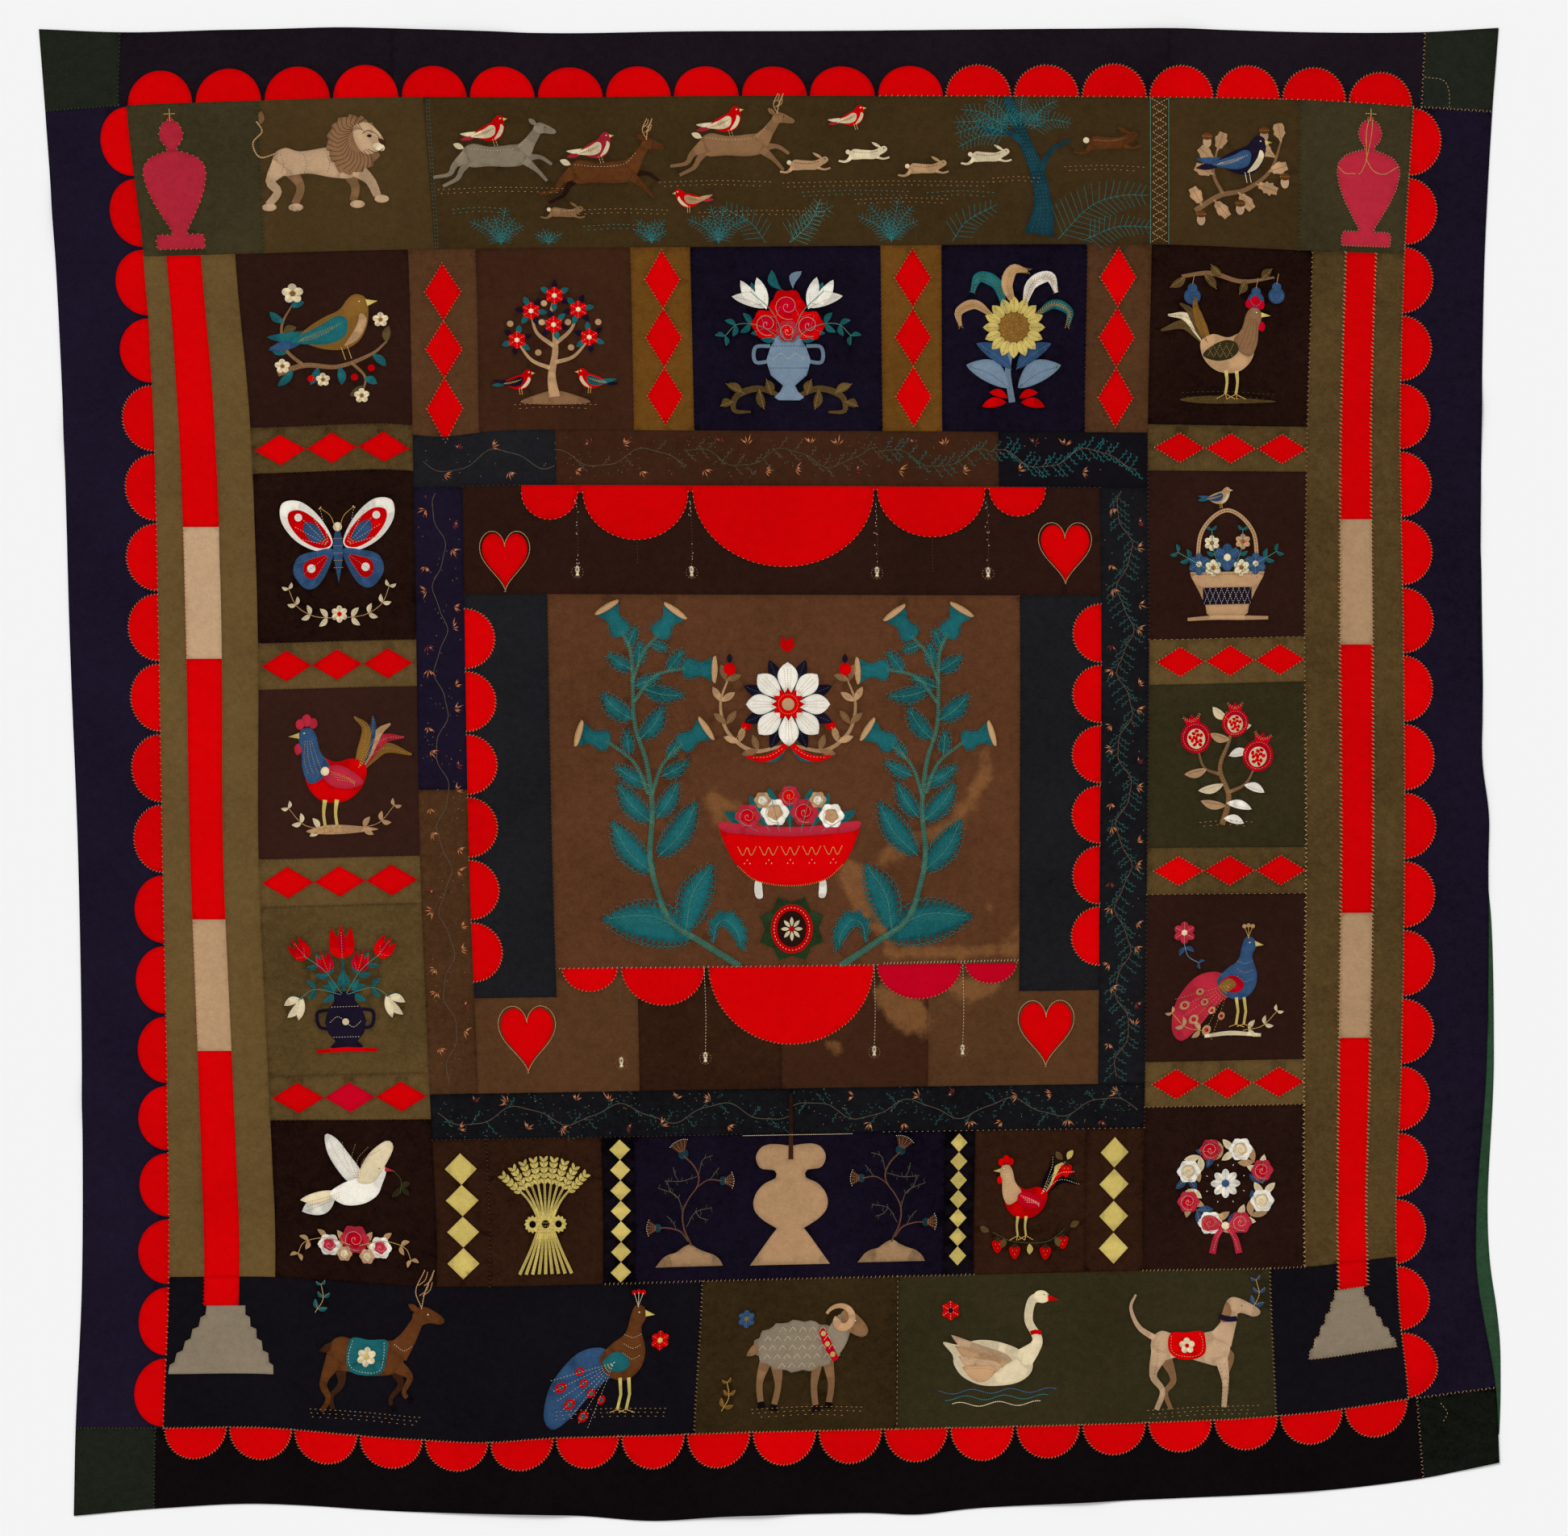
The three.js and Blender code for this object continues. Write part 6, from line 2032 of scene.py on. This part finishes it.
def mesh_grid(rects, rings):
    """Points over the rectangles on a triangular grid, clear of the rings."""
    out = []
    for u0, v0, u1, v1 in rects:
        rows = np.arange(v0 + GRID_START, v1 - GRID_END, ROW_GAP)
        for k, v in enumerate(rows):
            u = np.arange(u0 + GRID_START + (k % 2) * GRID / 2, u1 - GRID_END, GRID)
            out.append(np.stack([u, np.full(len(u), v)], 1))
    grid = np.concatenate(out)
    near = set()
    for u, v in np.floor(np.concatenate(rings) / CLEAR_OF_SEAM).astype(int):
        for du in (-1, 0, 1):
            for dv in (-1, 0, 1):
                near.add((u + du, v + dv))
    keep = [k for k, (u, v) in enumerate(np.floor(grid / CLEAR_OF_SEAM).astype(int)) if (u, v) not in near]
    return grid[keep]


def cut_panel(panel):
    """Cuts a panel's plan into triangles, and says which shape each one belongs to."""
    rings = [densify(panel.outline, EDGE_STEP)]
    rings += [densify(shape[2], EDGE_STEP) for shape in panel.shapes]
    points = []
    faces = []
    for ring in rings:
        faces.append(list(range(len(points), len(points) + len(ring))))
        points += [Vector(p) for p in ring]
    points += [Vector(p) for p in mesh_grid(panel.rects, rings)]
    verts, _, tris, _, _, sources = delaunay_2d_cdt(points, [], faces, 1, WELD, True)
    inside = [k for k, source in enumerate(sources) if 0 in source and len(tris[k]) == 3]
    plan = np.array([(p.x, p.y) for p in verts])
    corners = np.array([tris[k] for k in inside])
    owner = np.array([max(sources[k]) for k in inside])
    return plan, corners, owner


def put_in_scene(name, points, faces):
    mesh = bpy.data.meshes.new(name)
    mesh.from_pydata(points, [], faces.tolist())
    mesh.polygons.foreach_set("use_smooth", np.ones(len(faces), bool))
    piece = bpy.data.objects.new(name, mesh)
    bpy.context.scene.collection.objects.link(piece)
    return piece


class Piece:
    """The triangles of one object while it is put together, with three marks for its material."""

    def __init__(self, dye):
        self.dye = dye
        self.points = []
        self.faces = []
        self.marks = {"shade": [], "seam": [], "stain": []}
        self.count = 0

    def add(self, plan, corners, shade, thick=None):
        """A closed slab of cloth: a face, an underside and the cut edge between them."""
        used, index = np.unique(corners.ravel(), return_inverse=True)
        corners = index.reshape(corners.shape)
        u, v = plan[used].T
        edges = np.concatenate([corners[:, [0, 1]], corners[:, [1, 2]], corners[:, [2, 0]]])
        known = {(a, b) for a, b in edges}
        rim = np.array([(a, b) for a, b in edges if (b, a) not in known])
        size = len(used)
        seam = np.zeros(size)
        seam[rim.ravel()] = 1
        top = np.full(size, thick) if thick else face_height(u, v) - SEAM_DIP * seam
        bottom = np.zeros(size) if thick else lift(u, v)
        self.points += [in_frame(u, v, top), in_frame(u, v, bottom)]
        a, b = rim.T + self.count
        self.faces += [corners + self.count, corners[:, ::-1] + self.count + size,
                       np.stack([b, a, a + size], 1), np.stack([b, a + size, b + size], 1)]
        self.marks["shade"] += [np.full(size * 2, shade)]
        # The seam mark also tells the material where to paint shade along the rim, where the cloth dips
        self.marks["seam"] += [seam, seam]
        if self.dye in STAINED:
            self.marks["stain"] += [stain_depth(u, v)] * 2
        self.count += size * 2

    def build(self, name):
        piece = put_in_scene(name, np.concatenate(self.points), np.concatenate(self.faces))
        for mark, values in self.marks.items():
            if values:
                attribute = piece.data.attributes.new(mark, "FLOAT", "POINT")
                attribute.data.foreach_set("value", np.concatenate(values))
        piece.data.set_sharp_from_angle(angle=math.radians(50))
        return piece


# How high a stitch's ends and sides stand over the cloth, how round its crown is, and how deep its foot goes
STITCH_END = 0.05
STITCH_SIDE = 0.15
STITCH_CROWN = 0.55
STITCH_FOOT = 0.2
STITCH_FACES = [(0, 1, 4), (1, 2, 4), (2, 3, 4), (3, 0, 4), (1, 0, 5), (2, 1, 5), (3, 2, 5), (0, 3, 5)]


def sewn_piece(name, rows):
    """Every stitch of one thread: a low six-pointed bead, pushed a little into the cloth."""
    u, v, way, length, width = rows.T
    half = length[:, None] / 2 * np.stack([np.cos(way), np.sin(way)], 1)
    side = width[:, None] / 2 * np.stack([-np.sin(way), np.cos(way)], 1)
    middle = np.stack([u, v], 1)
    corners = [middle + half, middle + side, middle - half, middle - side, middle, middle]
    level = face_height(u, v)
    end = level + STITCH_END
    edge = level + STITCH_SIDE
    heights = [end, edge, end, edge, edge + width * STITCH_CROWN, level - STITCH_FOOT]
    points = np.stack([in_frame(*c.T, high) for c, high in zip(corners, heights)], 1)
    faces = (np.arange(len(u))[:, None, None] * 6 + np.array(STITCH_FACES)).reshape(-1, 3)
    return put_in_scene(name, points.reshape(-1, 3), faces)


# Materials

class Nodes:
    """A material's node tree, put together a node at a time."""

    def __init__(self, name):
        self.material = bpy.data.materials.new(name)
        self.material.use_nodes = True
        self.tree = self.material.node_tree
        self.shader = self.tree.nodes["Principled BSDF"]

    def add(self, kind, values=None, **settings):
        node = self.tree.nodes.new(kind)
        for key, value in settings.items():
            setattr(node, key, value)
        for socket, value in (values or {}).items():
            if isinstance(value, bpy.types.NodeSocket):
                self.tree.links.new(value, node.inputs[socket])
            else:
                node.inputs[socket].default_value = value
        return node

    def link(self, socket, name):
        self.tree.links.new(socket, self.shader.inputs[name])

    def maths(self, kind, a, b):
        return self.add("ShaderNodeMath", {0: a, 1: b}, operation=kind).outputs[0]

    def plus(self, light, value, share):
        """Adds a share of a value."""
        return self.maths("ADD", light, self.maths("MULTIPLY", value, share))

    def mark(self, name):
        return self.add("ShaderNodeAttribute", attribute_name=name).outputs["Fac"]

    def tint(self, rgb, light):
        """A dye, made lighter or darker."""
        sockets = {0: linear(rgb)[:3], "Scale": light}
        return self.add("ShaderNodeVectorMath", sockets, operation="SCALE").outputs[0]

    def finished(self, colour, rough, shine):
        self.link(colour, "Base Color")
        self.shader.inputs["Roughness"].default_value = rough
        self.shader.inputs["Specular IOR Level"].default_value = shine
        return self.material

    def noise(self, scale, detail=2.0, rough=0.5, offset=0.0):
        """Noise about zero, in the frame's metres."""
        place = self.add("ShaderNodeTexCoord").outputs["Object"]
        if offset:
            place = self.add("ShaderNodeVectorMath", {0: place, 1: (offset, offset, offset)}).outputs[0]
        node = self.add("ShaderNodeTexNoise", {"Vector": place, "Scale": scale, "Detail": detail,
                                               "Roughness": rough})
        return self.maths("SUBTRACT", node.outputs["Fac"], 0.5)


def linear(rgb):
    """A colour out of 255 as the eye sees it, in linear light."""
    c = np.asarray(rgb, float) / 255
    return tuple(np.where(c <= 0.04045, c / 12.92, ((c + 0.055) / 1.055) ** 2.4)) + (1.0,)


FADED = (126, 84, 48)
# How much shade is painted into the cloth's colour at the rim of each piece, where it dips into a seam
SEAM_SHADE = 0.25


def wool(name, rgb, worn, stained=False):
    """Fulled wool: cloudy dye, short fibres, a faint twill, and painted shade where it dips into a seam."""
    nodes = Nodes(name)
    cloud = nodes.noise(7.0, 3.0, 0.55, 0.4)
    mottle = nodes.noise(60.0, 3.0, 0.6)
    fibre = nodes.noise(520.0, 2.0, 0.7)
    shade = nodes.mark("shade")
    seam = nodes.mark("seam")
    light = nodes.maths("ADD", nodes.maths("MULTIPLY", cloud, 0.55 * worn), 1.0)
    light = nodes.plus(light, mottle, 0.5 * worn)
    light = nodes.plus(light, nodes.noise(190.0, 2.0, 0.6, 0.2), 0.5 * worn)
    light = nodes.plus(light, fibre, 0.75 * worn)
    light = nodes.maths("ADD", light, shade)
    # Painted shade: the colour is darkened along each piece's rim, where the cloth dips into its seam
    painted_seam_shade = nodes.maths("MULTIPLY", nodes.maths("POWER", seam, 3.0), SEAM_SHADE)
    light = nodes.maths("SUBTRACT", light, painted_seam_shade)
    colour = nodes.tint(rgb, light)
    if stained:
        deep = nodes.mark("stain")
        deep = nodes.plus(deep, nodes.noise(38.0, 4.0, 0.6, 0.9), 34.0)
        values = {"Value": deep, "From Min": -6.0, "From Max": 10.0, "To Max": 0.74}
        share = nodes.add("ShaderNodeMapRange", values, interpolation_type="SMOOTHSTEP").outputs[0]
        both = {0: share, 6: colour, 7: nodes.tint(FADED, light)}
        colour = nodes.add("ShaderNodeMix", both, data_type="RGBA").outputs[2]
    place = nodes.add("ShaderNodeTexCoord").outputs["Object"]
    values = {"Vector": place, "Scale": 224.0, "Distortion": 1.5, "Detail": 1.0}
    twill = nodes.add("ShaderNodeTexWave", values, bands_direction="DIAGONAL").outputs["Fac"]
    nap = nodes.plus(nodes.maths("MULTIPLY", twill, 0.35), fibre, 1.2)
    nap = nodes.plus(nap, mottle, 1.6)
    bump = nodes.add("ShaderNodeBump", {"Height": nap, "Strength": 0.6, "Distance": 0.0006}).outputs[0]
    nodes.link(bump, "Normal")
    return nodes.finished(colour, 0.95, 0.015)


def yarn(name, rgb):
    """Twisted sewing thread, a little uneven in its colour."""
    nodes = Nodes(name)
    light = nodes.maths("ADD", nodes.maths("MULTIPLY", nodes.noise(160.0), 0.9), 1.0)
    return nodes.finished(nodes.tint(rgb, light), 0.75, 0.25)


def plain(name, rgb, rough):
    nodes = Nodes(name)
    nodes.shader.inputs["Base Color"].default_value = linear(rgb)
    nodes.shader.inputs["Roughness"].default_value = rough
    return nodes.material


def wear_of(dye):
    """How uneven a dye looks: the dark woollens are the most mottled."""
    return 0.35 if dye in ("scarlet", "crimson") else 0.55 if max(DYES[dye][0]) > 120 else 1.0


# Putting it all together

LINING_STEP = 8.0
LINING_COLUMNS = 6


def draw_lining():
    """The strip of green lining, which shows only where the top has drawn in."""
    rows = np.arange(EDGE_BOTTOM + 1, EDGE_TOP, LINING_STEP)
    shows = curve_weights(LINING_V, np.clip(rows, LINING_V[0], LINING_V[-1])) @ np.array(LINING_SHOWS, float)
    keep = (rows >= LINING_V[0]) & (rows <= LINING_V[-1])
    rows = rows[keep]
    outer = EDGE_RIGHT + shows[keep]
    share = np.linspace(0, 1, LINING_COLUMNS)
    u = LINING_IN + (outer[:, None] - LINING_IN) * share
    v = np.repeat(rows[:, None], LINING_COLUMNS, 1)
    index = np.arange(u.size).reshape(u.shape)
    a, b, c, d = index[:-1, :-1], index[:-1, 1:], index[1:, 1:], index[1:, :-1]
    corners = np.concatenate([np.stack([a, b, c], -1).reshape(-1, 3), np.stack([a, c, d], -1).reshape(-1, 3)])
    return np.stack([u.ravel(), v.ravel()], 1), corners


def cut_all():
    """Cuts every panel. Gives the pieces by name, and each ground piece's flat area in square metres."""
    pieces = {}
    areas = {}
    for panel in PANELS.values():
        plan, corners, owner = cut_panel(panel)
        a, b, c = (plan[corners[:, k]] for k in range(3))
        area = ((b - a)[:, 0] * (c - a)[:, 1] - (b - a)[:, 1] * (c - a)[:, 0]) / 2
        for number in np.unique(owner):
            mine = owner == number
            if number == 0:
                name = f"{panel.name}_cloth"
                piece = pieces.setdefault(name, Piece(panel.dye))
                areas[panel.name] = area[mine].sum() * MM * MM
                shade = WORN.get(panel.name, 0.0)
            else:
                group, dye, _, shade = panel.shapes[number - 1]
                piece = pieces.setdefault(f"inlay_{group}_{dye}", Piece(dye))
            piece.add(plan, corners[mine], shade)
    return pieces, areas


def make_coverlet():
    """Builds every piece and every thread's stitches, puts their materials on, and hides the CAD parts they
    replace.
    """
    cloths = {}
    pieces, areas = cut_all()
    wools = {dye: wool(f"wool_{dye}", DYES[dye][0], wear_of(dye), dye in STAINED) for dye in DYES}
    lining = Piece("lining")
    lining.add(*draw_lining(), 0.0, thick=LINING)
    pieces["lining_edge_cloth"] = lining
    for name, piece in pieces.items():
        cloth = piece.build(name)
        cloth.data.materials.append(wools[piece.dye])
        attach(cloth, "root")
        cloths[name] = cloth
    extras = [name for name in cloths if name.startswith("inlay_")]
    for (group, thread), rows in SEWN.items():
        name = f"sewn_{group}_{thread}"
        stitches = sewn_piece(name, np.concatenate(rows))
        stitches.data.materials.append(yarn(f"yarn_{group}_{thread}", THREADS[thread]))
        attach(stitches, "root")
        cloths[name] = stitches
        extras.append(name)
    for panel in PANELS.values():
        cloth = cloths[f"{panel.name}_cloth"]
        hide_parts(panel.name)
    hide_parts("lining_edge")


# The camera looks straight down from over this place, with a view this wide, all in metres.
# Its lens and sensor are in millimetres.
CAMERA_X = 0.0224
CAMERA_Y = 0.0093
PHOTO_WIDE = 2.469
LENS = 85
SENSOR = 36
FLOOR_DROP = 0.0005
FLOOR_WIDE = 40


def make_setting():
    """The floor, the light and the camera."""
    scene = bpy.context.scene
    bpy.ops.mesh.primitive_plane_add(size=FLOOR_WIDE, location=(0, 0, -FLOOR_DROP))
    floor = bpy.context.object
    floor.name = "floor"
    floor.data.materials.append(plain("pale_floor", (243, 243, 243), 0.95))
    world = bpy.data.worlds.new("soft_room")
    world.use_nodes = True
    background = world.node_tree.nodes["Background"].inputs
    background["Color"].default_value = (1, 1, 1, 1)
    background["Strength"].default_value = 0.6
    scene.world = world
    lamp = bpy.data.lights.new("window_light", "SUN")
    lamp.energy = 1.9
    lamp.angle = math.radians(25)
    sun = bpy.data.objects.new("window_light", lamp)
    sun.rotation_euler = (math.radians(-38), math.radians(-30), 0)
    scene.collection.objects.link(sun)
    lens = bpy.data.cameras.new("camera")
    lens.lens = LENS
    lens.sensor_width = SENSOR
    lens.clip_end = 100
    camera = bpy.data.objects.new("camera", lens)
    camera.location = (CAMERA_X, CAMERA_Y, PHOTO_WIDE * LENS / SENSOR)
    scene.collection.objects.link(camera)
    scene.camera = camera
    scene.view_settings.view_transform = "Standard"


def main():
    add_panels()
    add_joins()
    add_border_scallops()
    for column in COLUMNS:
        add_column(column)
    add_urns()
    add_diamonds()
    add_hearts()
    add_swags()
    add_vase_panel()
    add_motifs()
    add_frieze()
    add_bottom_row()
    add_vase_thistles()
    add_vines()
    add_seams()
    make_coverlet()
    make_setting()


main()
